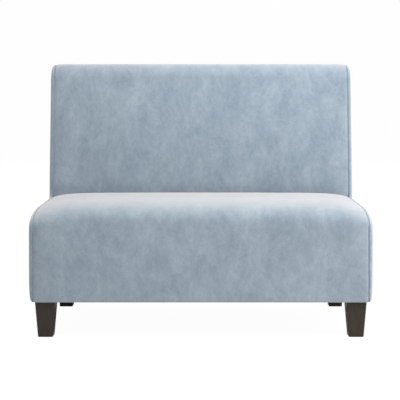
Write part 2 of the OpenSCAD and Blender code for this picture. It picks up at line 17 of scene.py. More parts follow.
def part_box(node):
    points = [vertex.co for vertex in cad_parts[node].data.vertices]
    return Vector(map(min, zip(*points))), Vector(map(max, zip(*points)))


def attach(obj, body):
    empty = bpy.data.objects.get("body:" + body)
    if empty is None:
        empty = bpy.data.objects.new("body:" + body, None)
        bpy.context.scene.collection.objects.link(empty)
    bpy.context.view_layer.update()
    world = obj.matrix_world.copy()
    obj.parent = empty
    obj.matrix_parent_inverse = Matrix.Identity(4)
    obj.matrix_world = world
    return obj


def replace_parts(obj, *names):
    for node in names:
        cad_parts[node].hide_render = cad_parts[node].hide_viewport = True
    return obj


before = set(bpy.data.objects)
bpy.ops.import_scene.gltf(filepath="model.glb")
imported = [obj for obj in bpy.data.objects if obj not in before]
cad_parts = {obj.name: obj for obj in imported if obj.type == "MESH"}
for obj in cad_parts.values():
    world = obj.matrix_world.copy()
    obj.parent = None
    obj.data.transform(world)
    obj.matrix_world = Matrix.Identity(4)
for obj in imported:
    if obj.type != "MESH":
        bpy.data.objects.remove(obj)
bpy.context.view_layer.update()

# %% [markdown]
# ## The sizes that the upholstery follows
# All lengths are in metres. The booth faces -Y, so its seat starts at FRONT and
# its outer back is at REAR. Each cover stops at a side seam, where a slim piping
# lies in the groove between the cover and the padded end panel.

# %% Sizes
CLOTH = 0.0015
FRONT, REAR = -0.35, 0.35
SEAM_X = 0.593
COVER_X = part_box("seat_cover")[1].x
PANEL_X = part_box("right_side_panel")[0].x
SIDE_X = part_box("right_side_panel")[1].x
SEAT_Z, BACK_Z = 0.475, 0.9935
# the velvet's hem lies a little higher than in the frame, and the legs reach up to it
HEM_UP = 0.0015
BASE_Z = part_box("seat_cover")[0].z + HEM_UP
TUCK_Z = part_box("back_cover")[0].z
# the front edge is round from NOSE_Y and NOSE_Z on, and the back's face starts at FOOT_Z
NOSE_Y, NOSE_Z = FRONT + 0.24, SEAT_Z - 0.084
FOOT_Z = SEAT_Z - 0.022
BACK_Y = FRONT + 0.51
RAKE = math.radians(5.6)
print("cover to", round(COVER_X, 4), "panel from", round(PANEL_X, 4), "to", round(SIDE_X, 4))

# %% [markdown]
# ## Camera
# The picture was taken from far off with a long lens held level, because the
# booth's upright edges stay upright in it. A small downward shift of the lens
# frames the booth without tilting the camera.

# %% Camera
eye = bpy.data.objects.new("eye", bpy.data.cameras.new("eye"))
bpy.context.scene.collection.objects.link(eye)
eye.location = (0, -4.1, 0.810)
eye.rotation_euler = (math.radians(90), 0, 0)
eye.data.sensor_width = 36
eye.data.lens = 95.7
eye.data.shift_x = -0.0021
eye.data.shift_y = -0.2275
bpy.context.scene.camera = eye
bpy.context.scene.view_settings.view_transform = "Standard"
print("camera", eye.data.lens, "mm at", tuple(eye.location))

# %% [markdown]
# ## A small kit for node materials
# A finish is built from a few kinds of noise. The nodes could be wired by hand in
# the editor, but a dozen finishes would be a maze of wires. These helpers add one
# node each and join it, so that a finish below reads as a short recipe.

# %% Colours
def srgb(red, green, blue):
    def linear(c):
        c = c / 255
        return c / 12.92 if c <= 0.04045 else ((c + 0.055) / 1.055) ** 2.4
    return (linear(red), linear(green), linear(blue), 1)


print("a grey of 128 is", round(srgb(128, 128, 128)[0], 3), "in linear light")

# %% Node helpers
class Finish:
    """A material in the making: its Principled shader and the helpers that feed it."""

    def __init__(self, name, **sockets):
        self.material = bpy.data.materials.new(name)
        self.material.use_nodes = True
        self.tree = self.material.node_tree
        self.shader = self.tree.nodes["Principled BSDF"]
        self.material.diffuse_color = sockets.pop("shown", (0.5, 0.5, 0.5, 1))
        for socket, value in sockets.items():
            self.shader.inputs[socket.replace("_", " ")].default_value = value
        self.coords = self.tree.nodes.new("ShaderNodeTexCoord")

    def add(self, kind, **values):
        node = self.tree.nodes.new(kind)
        for key, value in values.items():
            setattr(node, key, value)
        return node

    def join(self, source, target):
        self.tree.links.new(source, target)

    def stretched(self, size, source="Object"):
        """Coordinates in which one unit is size metres, or one size for each axis."""
        node = self.add("ShaderNodeMapping")
        sizes = size if isinstance(size, (list, tuple)) else (size, size, size)
        node.inputs["Scale"].default_value = [1 / s for s in sizes]
        self.join(self.coords.outputs[source], node.inputs["Vector"])
        return node.outputs["Vector"]

    def noise(self, size, detail, rough=0.5, twist=0, source="Object"):
        node = self.add("ShaderNodeTexNoise")
        node.inputs["Scale"].default_value = 1
        node.inputs["Detail"].default_value = detail
        node.inputs["Roughness"].default_value = rough
        node.inputs["Distortion"].default_value = twist
        self.join(self.stretched(size, source), node.inputs["Vector"])
        return node.outputs["Fac"]

    def cells(self, size):
        """The distance from the nearest of many scattered points, size metres apart."""
        node = self.add("ShaderNodeTexVoronoi")
        node.inputs["Scale"].default_value = 1
        self.join(self.stretched(size), node.inputs["Vector"])
        return node.outputs["Distance"]

    def wave(self, size, axis, source="Object"):
        """A ripple from 0 to 1 that repeats every size metres along an axis."""
        node = self.add("ShaderNodeTexWave", bands_direction=axis)
        node.inputs["Scale"].default_value = math.pi / 10
        self.join(self.stretched(size, source), node.inputs["Vector"])
        return node.outputs["Fac"]

    def ramp(self, value, *stops):
        node = self.add("ShaderNodeValToRGB")
        while len(node.color_ramp.elements) < len(stops):
            node.color_ramp.elements.new(0.5)
        for element, (place, colour) in zip(node.color_ramp.elements, stops):
            element.position, element.color = place, colour
        self.join(value, node.inputs["Fac"])
        return node.outputs["Color"]

    def math(self, kind, a, b=0.5):
        node = self.add("ShaderNodeMath", operation=kind)
        for socket, value in zip(node.inputs, (a, b)):
            if isinstance(value, (int, float)):
                socket.default_value = value
            else:
                self.join(value, socket)
        return node.outputs["Value"]

    def weigh(self, a, share_a, b, share_b):
        """The sum of two values, each times its share."""
        return self.math("ADD", self.math("MULTIPLY", a, share_a),
                         self.math("MULTIPLY", b, share_b))

    def step(self, value, low, high):
        """0 below low and 1 above high."""
        return self.ramp(value, (low, (0, 0, 0, 1)), (high, (1, 1, 1, 1)))

    def blend(self, factor, a, b):
        """From colour a to colour b as the factor goes from 0 to 1."""
        node = self.add("ShaderNodeMix", data_type="RGBA")
        for socket, value in zip((node.inputs[0], node.inputs[6], node.inputs[7]), (factor, a, b)):
            if isinstance(value, (int, float, tuple)):
                socket.default_value = value
            else:
                self.join(value, socket)
        return node.outputs[2]

    def colour(self, source):
        self.join(source, self.shader.inputs["Base Color"])

    def roughness(self, value, low, high):
        node = self.add("ShaderNodeMapRange")
        node.inputs["To Min"].default_value = low
        node.inputs["To Max"].default_value = high
        self.join(value, node.inputs["Value"])
        self.join(node.outputs["Result"], self.shader.inputs["Roughness"])

    def bump(self, height, distance, strength):
        node = self.add("ShaderNodeBump")
        node.inputs["Strength"].default_value = strength
        node.inputs["Distance"].default_value = distance
        self.join(height, node.inputs["Height"])
        self.join(node.outputs["Normal"], self.shader.inputs["Normal"])


print("finish helpers ready")

# %% [markdown]
# ## Velvet
# Velvet is a dense pile that stands up from a woven ground. Where a hand has
# brushed it, the pile leans and the patch looks lighter or darker, so the colour
# has soft clouds a few centimetres wide, longer down the cloth than across it.
# Seen at a slant the pile glows, which is the shader's sheen. A picture of velvet
# would repeat and hold the light of its own day, so a wide noise makes the brushing
# and a fine one the pile. The clouds read the cloth's own flat coordinates, in
# metres, so that they run over the curves.

# %% Velvet finish
def velvet(name, source="UV", sheen=0.726, blue=0):
    """Velvet whose tones are moved from red to blue by so many of 255 steps."""
    f = Finish(name, shown=(0.6, 0.68, 0.74, 1), Sheen_Weight=sheen, Sheen_Roughness=0.6,
               Sheen_Tint=srgb(255, 246 + blue / 2, 243 + blue / 2), Specular_IOR_Level=0.12)
    brushed = f.noise((0.12, 0.19, 0.19), detail=5, rough=0.92, twist=0.25, source=source)
    pile = f.noise((0.0035, 0.0042, 0.0042), detail=2, rough=0.7, source=source)
    shade = f.weigh(brushed, 0.8, pile, 0.2)
    # a blue shift above 0 paints the cooler shade and sheen of the piping and the end panels
    dark, middle, light = (srgb(red - blue, green, b + blue) for red, green, b in
                           ((98, 114, 127), (114, 128, 139), (129, 143, 152)))
    f.colour(f.ramp(shade, (0.35, dark), (0.5, middle), (0.65, light)))
    f.roughness(brushed, 0.72, 0.95)
    f.bump(f.weigh(pile, 0.6, brushed, 0.5), 0.0004, 0.5)
    return f.material


cover_velvet = velvet("cover_velvet")
# the piping's velvet is moved three steps towards blue, a painted bluish shade for the groove that
# it lies in
cord_painted_shade_velvet = velvet("cord_painted_shade_velvet", source="Object", sheen=0.32, blue=3)
# the end panels' velvet is moved two steps towards blue, a painted cooler sheen where they face the
# side
panel_painted_sheen_velvet = velvet("panel_painted_sheen_velvet", blue=2)
print("velvet:", cover_velvet.name, cord_painted_shade_velvet.name, panel_painted_sheen_velvet.name)

# %% [markdown]
# ## Laying cloth over a form
# A cover could be pushed out of a cube, but then its flow lines would not follow
# the seams. Here a flat grid is laid over the form instead, point by point, as an
# upholsterer lays the cut cloth over the foam: the grid's sides are the seams, and
# the flat place of each point becomes its cloth coordinate.

# %% Pieces from a bmesh
def object_from(bm, name):
    """Turns a bmesh into an object of the scene."""
    mesh = bpy.data.meshes.new(name)
    bm.to_mesh(mesh)
    bm.free()
    made = bpy.data.objects.new(name, mesh)
    bpy.context.scene.collection.objects.link(made)
    return made


def piece_from(bm, name, material):
    """A smooth piece of the booth with one material."""
    piece = object_from(bm, name)
    piece.data.materials.append(material)
    piece.data.shade_smooth()
    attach(piece, "booth")
    return piece


print("helpers for pieces ready")

# %% Lay a grid over a form
def lay(across, along, form):
    """A grid whose point at u, v (0 to 1) lies at form(u, v), and the length of its middle line."""
    middle = [Vector(form(0.5, j / along)) for j in range(along + 1)]
    lengths = [0.0]
    for a, b in zip(middle, middle[1:]):
        lengths.append(lengths[-1] + (b - a).length)
    bm = bmesh.new()
    bmesh.ops.create_grid(bm, x_segments=across, y_segments=along, size=0.5)
    flat = bm.loops.layers.uv.new("cloth")
    for vertex in bm.verts:
        vertex.co = Vector((vertex.co.x + 0.5, vertex.co.y + 0.5, 0))
    for face in bm.faces:
        for loop in face.loops:
            u, v = loop.vert.co.x, loop.vert.co.y
            loop[flat].uv = (form(u, v)[0], lengths[round(v * along)])
    for vertex in bm.verts:
        vertex.co = form(vertex.co.x, vertex.co.y)
    return bm, lengths[-1]


def solidify(piece, thickness, offset=-1):
    """Gives a sheet its thickness: to its inside, or to both sides with an offset of 0."""
    wall = piece.modifiers.new("thickness", "SOLIDIFY")
    wall.thickness, wall.offset = thickness, offset
    wall.use_even_offset = True


def verts_of(geom):
    return [v for v in geom if isinstance(v, bmesh.types.BMVert)]


def border_of(bm):
    return [e for e in bm.edges if e.is_boundary]


CROWD = 1.53


def spread(u):
    """From 0..1 to -1..1, closer together near both seams."""
    return math.sin((2 * u - 1) * CROWD) / math.sin(CROWD)


print("cloth helpers ready")

# %% [markdown]
# ## The seat's form
# The seat's section runs from the tuck behind, over the flat top, round the deep
# front edge and down to the hem. Along the width it sinks towards the side seams,
# and in the last few millimetres the cloth dives into the groove by the piping. It
# could be sculpted, but a form that is written as a few falls, each of which dies
# away from the seam, can be measured and changed one fall at a time.

# %% Falls towards the seams
GROOVE, GROOVE_REACH = 0.003, 0.0048
SIDE_DROP, SIDE_REACH = 0.019, 0.050
NOSE_DROP, NOSE_REACH = 0.004, 0.060
WIDE_DROP = 0.003
REAR_RISE, RISE_REACH = 0.01, 0.15
EASE, EASE_REACH = 0.004, 0.014


def fall(x, reach):
    """1 at the side seams, and less and less towards the middle."""
    return math.exp(-(SEAM_X - abs(x)) / reach)


def groove(x, deep=1.0):
    """How far the cloth's edge dives in next to the piping."""
    return GROOVE * deep * math.exp(-(COVER_X - abs(x)) / GROOVE_REACH)


def seat_low(x, ahead=1.0):
    """The drop towards the side seams, a little more at the front, where ahead is 1."""
    return (SIDE_DROP * fall(x, SIDE_REACH) + NOSE_DROP * ahead * fall(x, NOSE_REACH)
            + WIDE_DROP * (x / SEAM_X) ** 2)


def seat_top(x, y, inward):
    """The seat's height. Its middle is level, and its sides rise a little to the rear."""
    ahead = min(1.0, (BACK_Y - y) / (BACK_Y - NOSE_Y))
    rise = REAR_RISE * max(0, y - NOSE_Y) * fall(x, RISE_REACH)
    return SEAT_Z - inward - seat_low(x, ahead) + rise


def seat_front(x, inward):
    """The front face, which is eased back a little at the seams."""
    return FRONT + inward + EASE * fall(x, EASE_REACH)


print("drop of the seat at its seams", round(seat_low(SEAM_X) * 1000, 1), "mm")

# %% [markdown]
# The section is cut into parts, each with its own count of steps, so that the rows
# of the grid lie close together where the cloth turns. The front edge is a quarter
# of a superellipse, which is a rounded box between a circle and a square.

# %% Section of the seat
SEAT_STEPS = (4, 6, 24, 30, 22, 6, 2)
TUCK, TURN, TOP, NOSE, FACE, HEM, UNDER = range(7)
COVER_GAP = 0.0002
TURN_R, HEM_R, FOLD, FOLD_OUT = 0.014, 0.004, 0.028, 0.0044
NOSE_POWER, SOFTER, SOFT_REACH = 3.4, 1.0, 0.07


def seat_section(x, part, share, inward):
    """The point y, z at a share of one part of the section, from the rear tuck to the hem."""
    rear = BACK_Y - COVER_GAP - inward
    top = seat_top(x, rear, inward)
    front = seat_front(x, inward)
    if part == TUCK:
        return rear, TUCK_Z + share * (top - TURN_R - TUCK_Z)
    if part == TURN:
        turn = share * math.pi / 2
        return rear - TURN_R * (1 - math.cos(turn)), top - TURN_R * (1 - math.sin(turn))
    if part == TOP:
        y = rear - TURN_R + share * (NOSE_Y - rear + TURN_R)
        return y, seat_top(x, y, inward)
    if part == NOSE:
        turn = (1 - share) * math.pi / 2
        power = NOSE_POWER - SOFTER * fall(x, SOFT_REACH)
        rise = SEAT_Z - NOSE_Z - inward - seat_low(x)
        return (NOSE_Y - (NOSE_Y - front) * math.cos(turn) ** (2 / power),
                NOSE_Z + rise * math.sin(turn) ** (2 / power))
    if part == FACE:
        return front, NOSE_Z + share * (BASE_Z + HEM_R - NOSE_Z)
    r = HEM_R - inward
    if part == HEM:
        turn = share * math.pi / 2
        return front + r * (1 - math.cos(turn)), BASE_Z + HEM_R - r * math.sin(turn)
    return front + r + share * (FRONT + FOLD - front - r), BASE_Z + inward


def along_parts(steps, v):
    """Which part of a section v lies in, and its share of that part."""
    place = v * sum(steps)
    for part, count in enumerate(steps):
        if place <= count or part == len(steps) - 1:
            return part, min(1, place / count)
        place -= count


print("seat section in", len(SEAT_STEPS), "parts and", sum(SEAT_STEPS), "steps")

# %% [markdown]
# The groove by the piping shows down the front. On top the cloth lies almost flush
# with the piping, and under the frame its fold reaches to the end panels, so that
# hardly any plywood shows beside it.

# %% Seat cover
def seat_deep(part, share):
    """The groove is shallow on top, deepens round the front edge and ends above the hem."""
    if part == NOSE:
        return 0.4 + 0.6 * share ** 2
    if part == FACE:
        return 1 - 0.8 * max(0, 10 * share - 9)
    return 0.4 if part < NOSE else 0.2


def seat_form(u, v):
    x = spread(u) * COVER_X
    part, share = along_parts(SEAT_STEPS, v)
    y, z = seat_section(x, part, share, groove(x, seat_deep(part, share)))
    if part == UNDER:
        x *= 1 + min(1.0, 3 * share) * FOLD_OUT / COVER_X
    return x, y, z


bm, seat_length = lay(110, sum(SEAT_STEPS), seat_form)
seat_velvet = piece_from(bm, "seat_velvet", cover_velvet)
solidify(seat_velvet, CLOTH)
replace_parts(seat_velvet, "seat_cover")
print("seat cloth", round(2 * COVER_X, 3), "x", round(seat_length, 3))

# %% [markdown]
# ## The back's form
# The back's cloth starts on the outer back, turns over the rounded top and runs
# down the leaning face into the tuck behind the seat. The seat's function could be
# bent to serve here too, but the back leans and has two round turns, so it has a
# section of its own, cut into parts in the same way.

# %% Form of the back
CORNER_DROP, CORNER_REACH = 0.0025, 0.016
CROWN, CROWN_REACH = 0.006, 0.08
TUCK_IN, TUCK_UP, TUCK_REACH = 0.007, 0.024, 0.022
EASE_UP = 0.04


def back_top(x, inward):
    return BACK_Z - inward - CORNER_DROP * fall(x, CORNER_REACH)


def back_face(x, z, inward):
    """The leaning face: crowned in its middle, drawn in at the tuck and eased at the seams."""
    up = max(0, z - FOOT_Z)
    share = min(max(0, z - SEAT_Z) / (BACK_Z - SEAT_Z), 1)
    crown = CROWN * math.sin(math.pi * share) * (1 - fall(x, CROWN_REACH))
    tuck = TUCK_IN * math.exp(-max(0, up - TUCK_UP) / TUCK_REACH)
    eased = EASE * fall(x, CORNER_REACH) * min(1, up / EASE_UP)
    return (BACK_Y + COVER_GAP + inward / math.cos(RAKE) + up * math.tan(RAKE)
            - crown + tuck + eased)


print("back leans by", round(math.degrees(RAKE), 1), "degrees")

# %% Section of the back
BACK_STEPS = (3, 12, 8, 16, 40, 5)
BEHIND, REAR_TURN, OVER, FRONT_TURN, LEAN = range(5)
BACK_REAR, BEHIND_LONG = REAR - 0.003, 0.020
REAR_R, FRONT_R = 0.040, 0.064


def back_section(x, part, share, inward):
    """The point y, z at a share of one part, from the outer back to the tuck."""
    top = back_top(x, inward)
    rear_r, front_r = REAR_R - inward, FRONT_R - inward
    rear = BACK_REAR - inward
    if part == BEHIND:
        return rear, top - rear_r - BEHIND_LONG * (1 - share)
    if part == REAR_TURN:
        turn = share * math.pi / 2
        return rear - rear_r * (1 - math.cos(turn)), top - rear_r + rear_r * math.sin(turn)
    low = top - front_r + front_r * math.sin(RAKE)
    y = back_face(x, low, inward) + front_r * math.cos(RAKE)
    if part == OVER:
        return rear - rear_r + share * (y - rear + rear_r), top
    if part == FRONT_TURN:
        turn = math.pi / 2 - share * (math.pi / 2 - RAKE)
        return y - front_r * math.cos(turn), top - front_r + front_r * math.sin(turn)
    if part == LEAN:
        z = low + share * (FOOT_Z - low)
        return back_face(x, z, inward), z
    return back_face(x, FOOT_Z, inward), FOOT_Z + share * (TUCK_Z - FOOT_Z)


print("back section in", len(BACK_STEPS), "parts and", sum(BACK_STEPS), "steps")

# %% [markdown]
# Over the top the groove is shallow, as it is on the seat. It deepens within the
# first tenth of the leaning face.

# %% Back cover
def back_form(u, v):
    x = spread(u) * COVER_X
    part, share = along_parts(BACK_STEPS, v)
    deep = 0.2 if part < LEAN else 1.0
    if part == LEAN:
        deep = 0.2 + 0.8 * min(1.0, 10 * share)
    y, z = back_section(x, part, share, groove(x, deep))
    return x, y, z


bm, back_length = lay(110, sum(BACK_STEPS), back_form)
back_velvet = piece_from(bm, "back_velvet", cover_velvet)
solidify(back_velvet, CLOTH)
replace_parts(back_velvet, "back_cover")
print("back cloth", round(2 * COVER_X, 3), "x", round(back_length, 3))

# %% [markdown]
# ## The padded end panels
# Each end of the booth is one L-shaped panel: wadding and velvet over the plywood
# end, sewn to the covers along the piping. Its outline is the covers' own section.
# It could be one flat face that is cut up, but then its rows wouldn't follow the
# seam. So it is a grid between two halves of the outline. One half runs up the
# front, along the seat and up the back, the other along the bottom and up the rear.

# %% Even steps along a line
def line_length(line):
    return sum((b - a).length for a, b in zip(line, line[1:]))


def evenly(line, count):
    """count + 1 points at equal steps along a line."""
    step, out, walked, i = line_length(line) / count, [line[0]], 0.0, 0
    for k in range(1, count):
        while walked + (line[i + 1] - line[i]).length < k * step:
            walked += (line[i + 1] - line[i]).length
            i += 1
        leg = line[i + 1] - line[i]
        out.append(line[i] + leg * ((k * step - walked) / leg.length))
    return out + [line[-1]]


ruler = evenly([Vector((0, 0)), Vector((1, 0))], 4)
print("a ruler in even steps:", [round(point.x, 2) for point in ruler])

# %% Outline of the end panels
SEAT_ROWS, BACK_ROWS = 56, 64


def backwards(section, part, count, inward):
    """Points at the seam along one part of a section, from its end to its start."""
    return [Vector(section(SEAM_X, part, 1 - k / count, inward)) for k in range(count + 1)]


def seat_edge(inward=0.0):
    """Up the front and over the seat to the back."""
    line = backwards(seat_section, FACE, 12, inward)
    line[0] = Vector((line[0].x, BASE_Z))
    line += backwards(seat_section, NOSE, 30, inward)[1:]
    line += backwards(seat_section, TOP, 12, inward)[1:-1]
    return line + [Vector((BACK_Y, seat_top(SEAM_X, BACK_Y, inward)))]


def back_edge(inward=0.0):
    """Up the leaning face and round to the top."""
    return (backwards(back_section, LEAN, 30, inward)[1:]
            + backwards(back_section, FRONT_TURN, 14, inward)[1:])


def rear_edge(inward=0.0):
    """Round from the top and down the rear."""
    top, rear, r = back_top(SEAM_X, inward), REAR - inward, REAR_R - inward
    turns = [math.pi / 2 * (1 - k / 12) for k in range(13)]
    line = [Vector((rear - r * (1 - math.cos(t)), top - r + r * math.sin(t))) for t in turns]
    return line + [Vector((rear, BASE_Z))]


seat_seam, back_seam, rear_seam = seat_edge(), back_edge(), rear_edge()
middle_top = (back_seam[-1] + rear_seam[0]) / 2
near = (evenly(seat_seam, SEAT_ROWS)[:-1]
        + evenly([seat_seam[-1]] + back_seam + [middle_top], BACK_ROWS))
far = (evenly([seat_seam[0], Vector((REAR, BASE_Z))], SEAT_ROWS)[:-1]
       + evenly(([middle_top] + rear_seam)[::-1], BACK_ROWS))
print("panel outline", round(line_length(near) + line_length(far), 3), "m round")

# %% [markdown]
# The wadding is thin at the seam and full a few centimetres further in. A bevel
# round a flat panel would have one radius everywhere, but the real edge is softer
# at the seat's height and curls in more at the hem. So each point is raised by its
# distance from the seam, on a quarter of an ellipse. A k-d tree finds that distance.

# %% Swelling of the end panels
PUFF = SIDE_X - PANEL_X - CLOTH
EDGE, SEAT_MORE, HEM_MORE = 0.016, 0.004, 0.038
SEAT_DOWN, SEAT_BAND, HEM_BAND = 0.03, 0.05, 0.035
AHEAD_FROM, AHEAD_LONG = 0.02, 0.12
rim_points = evenly(near, 799) + evenly(far, 799)
rim = kdtree.KDTree(len(rim_points))
for i, point in enumerate(rim_points):
    rim.insert((point.x, point.y, 0), i)
rim.balance()


def from_seam(y, z):
    """How far a place of the panel is from its seam."""
    return rim.find((y, z, 0))[2]


def swell(y, z):
    """How far the panel stands out at a place."""
    ahead = min(1.0, max(0.0, (BACK_Y - AHEAD_FROM - y) / AHEAD_LONG))
    by_seat = ahead * math.exp(-((z - SEAT_Z + SEAT_DOWN) / SEAT_BAND) ** 2)
    by_hem = math.exp(-(z - BASE_Z) / HEM_BAND)
    away = min(1.0, from_seam(y, z) / (EDGE + SEAT_MORE * by_seat + HEM_MORE * by_hem))
    return PUFF * math.sqrt(max(0.0, 1 - (1 - away) ** 2))


print("the panels stand out by", round(PUFF * 1000, 1), "mm")

# %% Grid of the end panels
RIM_STEPS = [0, 0.0004, 0.0014, 0.003, 0.0052, 0.008, 0.012, 0.017, 0.024, 0.032]
ACROSS = 34


def across_panel(a, b, count):
    """Places across the panel: close together by both seams, even in the middle."""
    length = (b - a).length
    ends = [min(s, length / 2 * s / RIM_STEPS[-1]) for s in RIM_STEPS]
    inner = count - 2 * (len(ends) - 1)
    middle = [ends[-1] + (length - 2 * ends[-1]) * k / inner for k in range(1, inner)]
    places = ends + middle + [length - s for s in reversed(ends)]
    return [a + (b - a) * (s / length if length > 1e-9 else 0) for s in places]


panel_rows = [across_panel(a, b, ACROSS) for a, b in zip(near, far)]


def panel_grid():
    """A flat grid in the panel's shape, and each vertex's place in it."""
    bm, along = bmesh.new(), len(near) - 1
    bmesh.ops.create_grid(bm, x_segments=along, y_segments=ACROSS, size=0.5)
    places = [(round((v.co.x + 0.5) * along), round((v.co.y + 0.5) * ACROSS)) for v in bm.verts]
    for v, (i, j) in zip(bm.verts, places):
        v.co = (0, *panel_rows[i][j])
    return bm, places


print("panel grid", len(panel_rows), "x", ACROSS + 1)

# %% [markdown]
# ## Filling the end panels by simulation
# The velvet of an end panel is held all round by its seam, and the wadding under it
# pushes it out. Blender's cloth solver does just that: the border is pinned, gravity
# is off and a pressure blows the panel up for twenty steps. Sculpting could do it
# too, but not the same way twice. A point keeps at most GIVE of its move, because
# real wadding is thin. Both panels use the one result.

# %% Cloth solver for the end panels
GIVE, PRESSURE, BLOW_STEPS = 0.004, 4, 20
MERGE, PINNED = 0.0002, 0.006


def blown_up():
    """How far the pressure lifts each place of the panel's grid."""
    bm, places = panel_grid()
    tag = bm.verts.layers.int.new("place")
    for k, v in enumerate(bm.verts):
        v[tag] = k
        v.co.x = PANEL_X + CLOTH + swell(v.co.y, v.co.z)
    bmesh.ops.remove_doubles(bm, verts=bm.verts, dist=MERGE)
    places = [places[v[tag]] for v in bm.verts]
    held = [k for k, v in enumerate(bm.verts) if from_seam(v.co.y, v.co.z) < PINNED]
    bm.normal_update()
    if sum(face.normal.x for face in bm.faces) < 0:
        bmesh.ops.reverse_faces(bm, faces=bm.faces)
    cloth = object_from(bm, "panel_in_the_making")
    start = [v.co.x for v in cloth.data.vertices]
    cloth.vertex_groups.new(name="seam").add(held, 1, "REPLACE")
    solver = cloth.modifiers.new("pressure", "CLOTH")
    solver.settings.vertex_group_mass = "seam"
    solver.settings.use_pressure = True
    solver.settings.uniform_pressure_force = PRESSURE
    solver.settings.effector_weights.gravity = 0
    solver.collision_settings.use_collision = False
    for step in range(1, BLOW_STEPS + 1):
        bpy.context.scene.frame_set(step)
    blown = cloth.evaluated_get(bpy.context.evaluated_depsgraph_get()).data
    lifts = [after.co.x - before for before, after in zip(start, blown.vertices)]
    bpy.data.objects.remove(cloth)
    bpy.context.scene.frame_set(1)
    print("panel blown up by", round(max(lifts) * 1000, 1), "mm, at most", GIVE * 1000, "mm kept")
    return {place: GIVE * math.tanh(max(lift, 0) / GIVE) for place, lift in zip(places, lifts)}


LIFT = blown_up()

# %% [markdown]
# The two end panels are mirror images. A mirror modifier would give both the same
# patches of velvet, so each is built on its own from the one grid. Padding has a
# back too: the border is extruded down to the plywood, and the hole is closed.

# %% End panels
def end_panel(name, side):
    bm, places = panel_grid()
    flat = bm.loops.layers.uv.new("cloth")
    for v, place in zip(bm.verts, places):
        v.co.x = side * (PANEL_X + CLOTH + swell(v.co.y, v.co.z) + LIFT.get(place, 0))
    for face in bm.faces:
        for loop in face.loops:
            loop[flat].uv = (loop.vert.co.y + 3 * side, loop.vert.co.z)
    bmesh.ops.remove_doubles(bm, verts=bm.verts, dist=MERGE)
    for v in verts_of(bmesh.ops.extrude_edge_only(bm, edges=border_of(bm))["geom"]):
        v.co.x = side * PANEL_X
    bmesh.ops.contextual_create(bm, geom=border_of(bm))
    bmesh.ops.recalc_face_normals(bm, faces=bm.faces)
    panel = piece_from(bm, name, panel_painted_sheen_velvet)
    return panel


for side, word in ((1, "right"), (-1, "left")):
    panel = end_panel(word + "_end_velvet", side)
    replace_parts(panel, word + "_side_panel")
    print(panel.name, len(panel.data.polygons), "faces")

# %% [markdown]
# ## Piping
# Piping is a strip of velvet sewn round a cord, and it hides the seam between two
# pieces of cloth. A curve with a bevel depth would do for it. Here a circle is
# extruded along the seam step by step, because the same sweep then makes the
# staples and the springs, with both ends closed.

# %% Sweep a round section along a path
def sweep(bm, path, radius, sides):
    """Extrudes a circle along path, and closes both ends."""
    def turned(i):
        ahead = (path[min(i + 1, len(path) - 1)] - path[max(i - 1, 0)]).normalized()
        across = Vector((1, 0, 0)) if abs(ahead.x) < 0.9 else Vector((0, 0, 1))
        side = ahead.cross(across).normalized()
        return Matrix((side, ahead.cross(side), ahead)).transposed()
    ring = bmesh.ops.create_circle(bm, segments=sides, radius=radius, cap_ends=False)["verts"]
    rest = [v.co.copy() for v in ring]
    edges = list({e for v in ring for e in v.link_edges})
    first = list(edges)
    for i, point in enumerate(path):
        if i:
            grown = bmesh.ops.extrude_edge_only(bm, edges=edges)["geom"]
            new = verts_of(grown)
            edges = [e for e in grown if isinstance(e, bmesh.types.BMEdge)
                     and all(v in new for v in e.verts)]
            # each new vertex follows the one that it was drawn out of
            old = {v: next(e.other_vert(v) for e in v.link_edges if e.other_vert(v) in ring)
                   for v in new}
            rest = [rest[ring.index(old[v])] for v in new]
            ring = new
        for v, co in zip(ring, rest):
            v.co = point + turned(i) @ co
    bmesh.ops.contextual_create(bm, geom=first)
    bmesh.ops.contextual_create(bm, geom=edges)


def wire_piece(bm, name, material):
    """A piece that was swept: its faces are turned outwards first."""
    bmesh.ops.recalc_face_normals(bm, faces=bm.faces)
    return piece_from(bm, name, material)


print("sweep ready")

# %% Piping
PIPE_R, PIPE_IN = 0.002, 0.0024
SEAT_STOP, BACK_START = BACK_Y - 0.0023, FOOT_Z + 0.0043


def piping(name, side, line):
    bm = bmesh.new()
    sweep(bm, [Vector((side * SEAM_X, p.x, p.y)) for p in line], PIPE_R, 10)
    return wire_piece(bm, name, cord_painted_shade_velvet)


seat_line = seat_edge(PIPE_IN)
seat_line[-1] = Vector((SEAT_STOP, seat_line[-1].y))
back_start = Vector((back_face(SEAM_X, BACK_START, PIPE_IN), BACK_START))
back_line = [p for p in back_edge(PIPE_IN) if p.y > back_start.y + 0.002]
back_line = [back_start] + back_line + rear_edge(PIPE_IN + 0.001)
for side, word in ((1, "right"), (-1, "left")):
    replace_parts(piping(word + "_seat_piping", side, seat_line), f"seat_{word}_piping")
    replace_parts(piping(word + "_back_piping", side, back_line), f"back_{word}_piping")
print("piping", round(line_length(seat_line), 3), "m on the seat and",
      round(line_length(back_line), 3), "m on the back")

# %% [markdown]
# ## What lies under the velvet
# Foam, wadding and felt are pads with a closed section. A cube with a bevel would
# do for the plain ones, but most follow the cover's curves. So each starts as the
# same flat grid as the covers, and the grid is rolled round until its first and
# last rows meet. They are merged, and the two open ends are filled.

# %% Helpers for closed pads
GAP, SNAP = 0.0003, 0.00002


def closed_pad(name, across, along, form, material):
    """Rolls a grid into a closed pad, whose edges sharper than 40 degrees stay crisp."""
    bm, around = lay(across, along, form)
    bmesh.ops.remove_doubles(bm, verts=bm.verts, dist=SNAP)
    bmesh.ops.holes_fill(bm, edges=border_of(bm), sides=0)
    bmesh.ops.recalc_face_normals(bm, faces=bm.faces)
    pad = piece_from(bm, name, material)
    pad.data.set_sharp_from_angle(angle=math.radians(40))
    print(name, len(pad.data.polygons), "faces,", round(around, 3), "m round")
    return pad


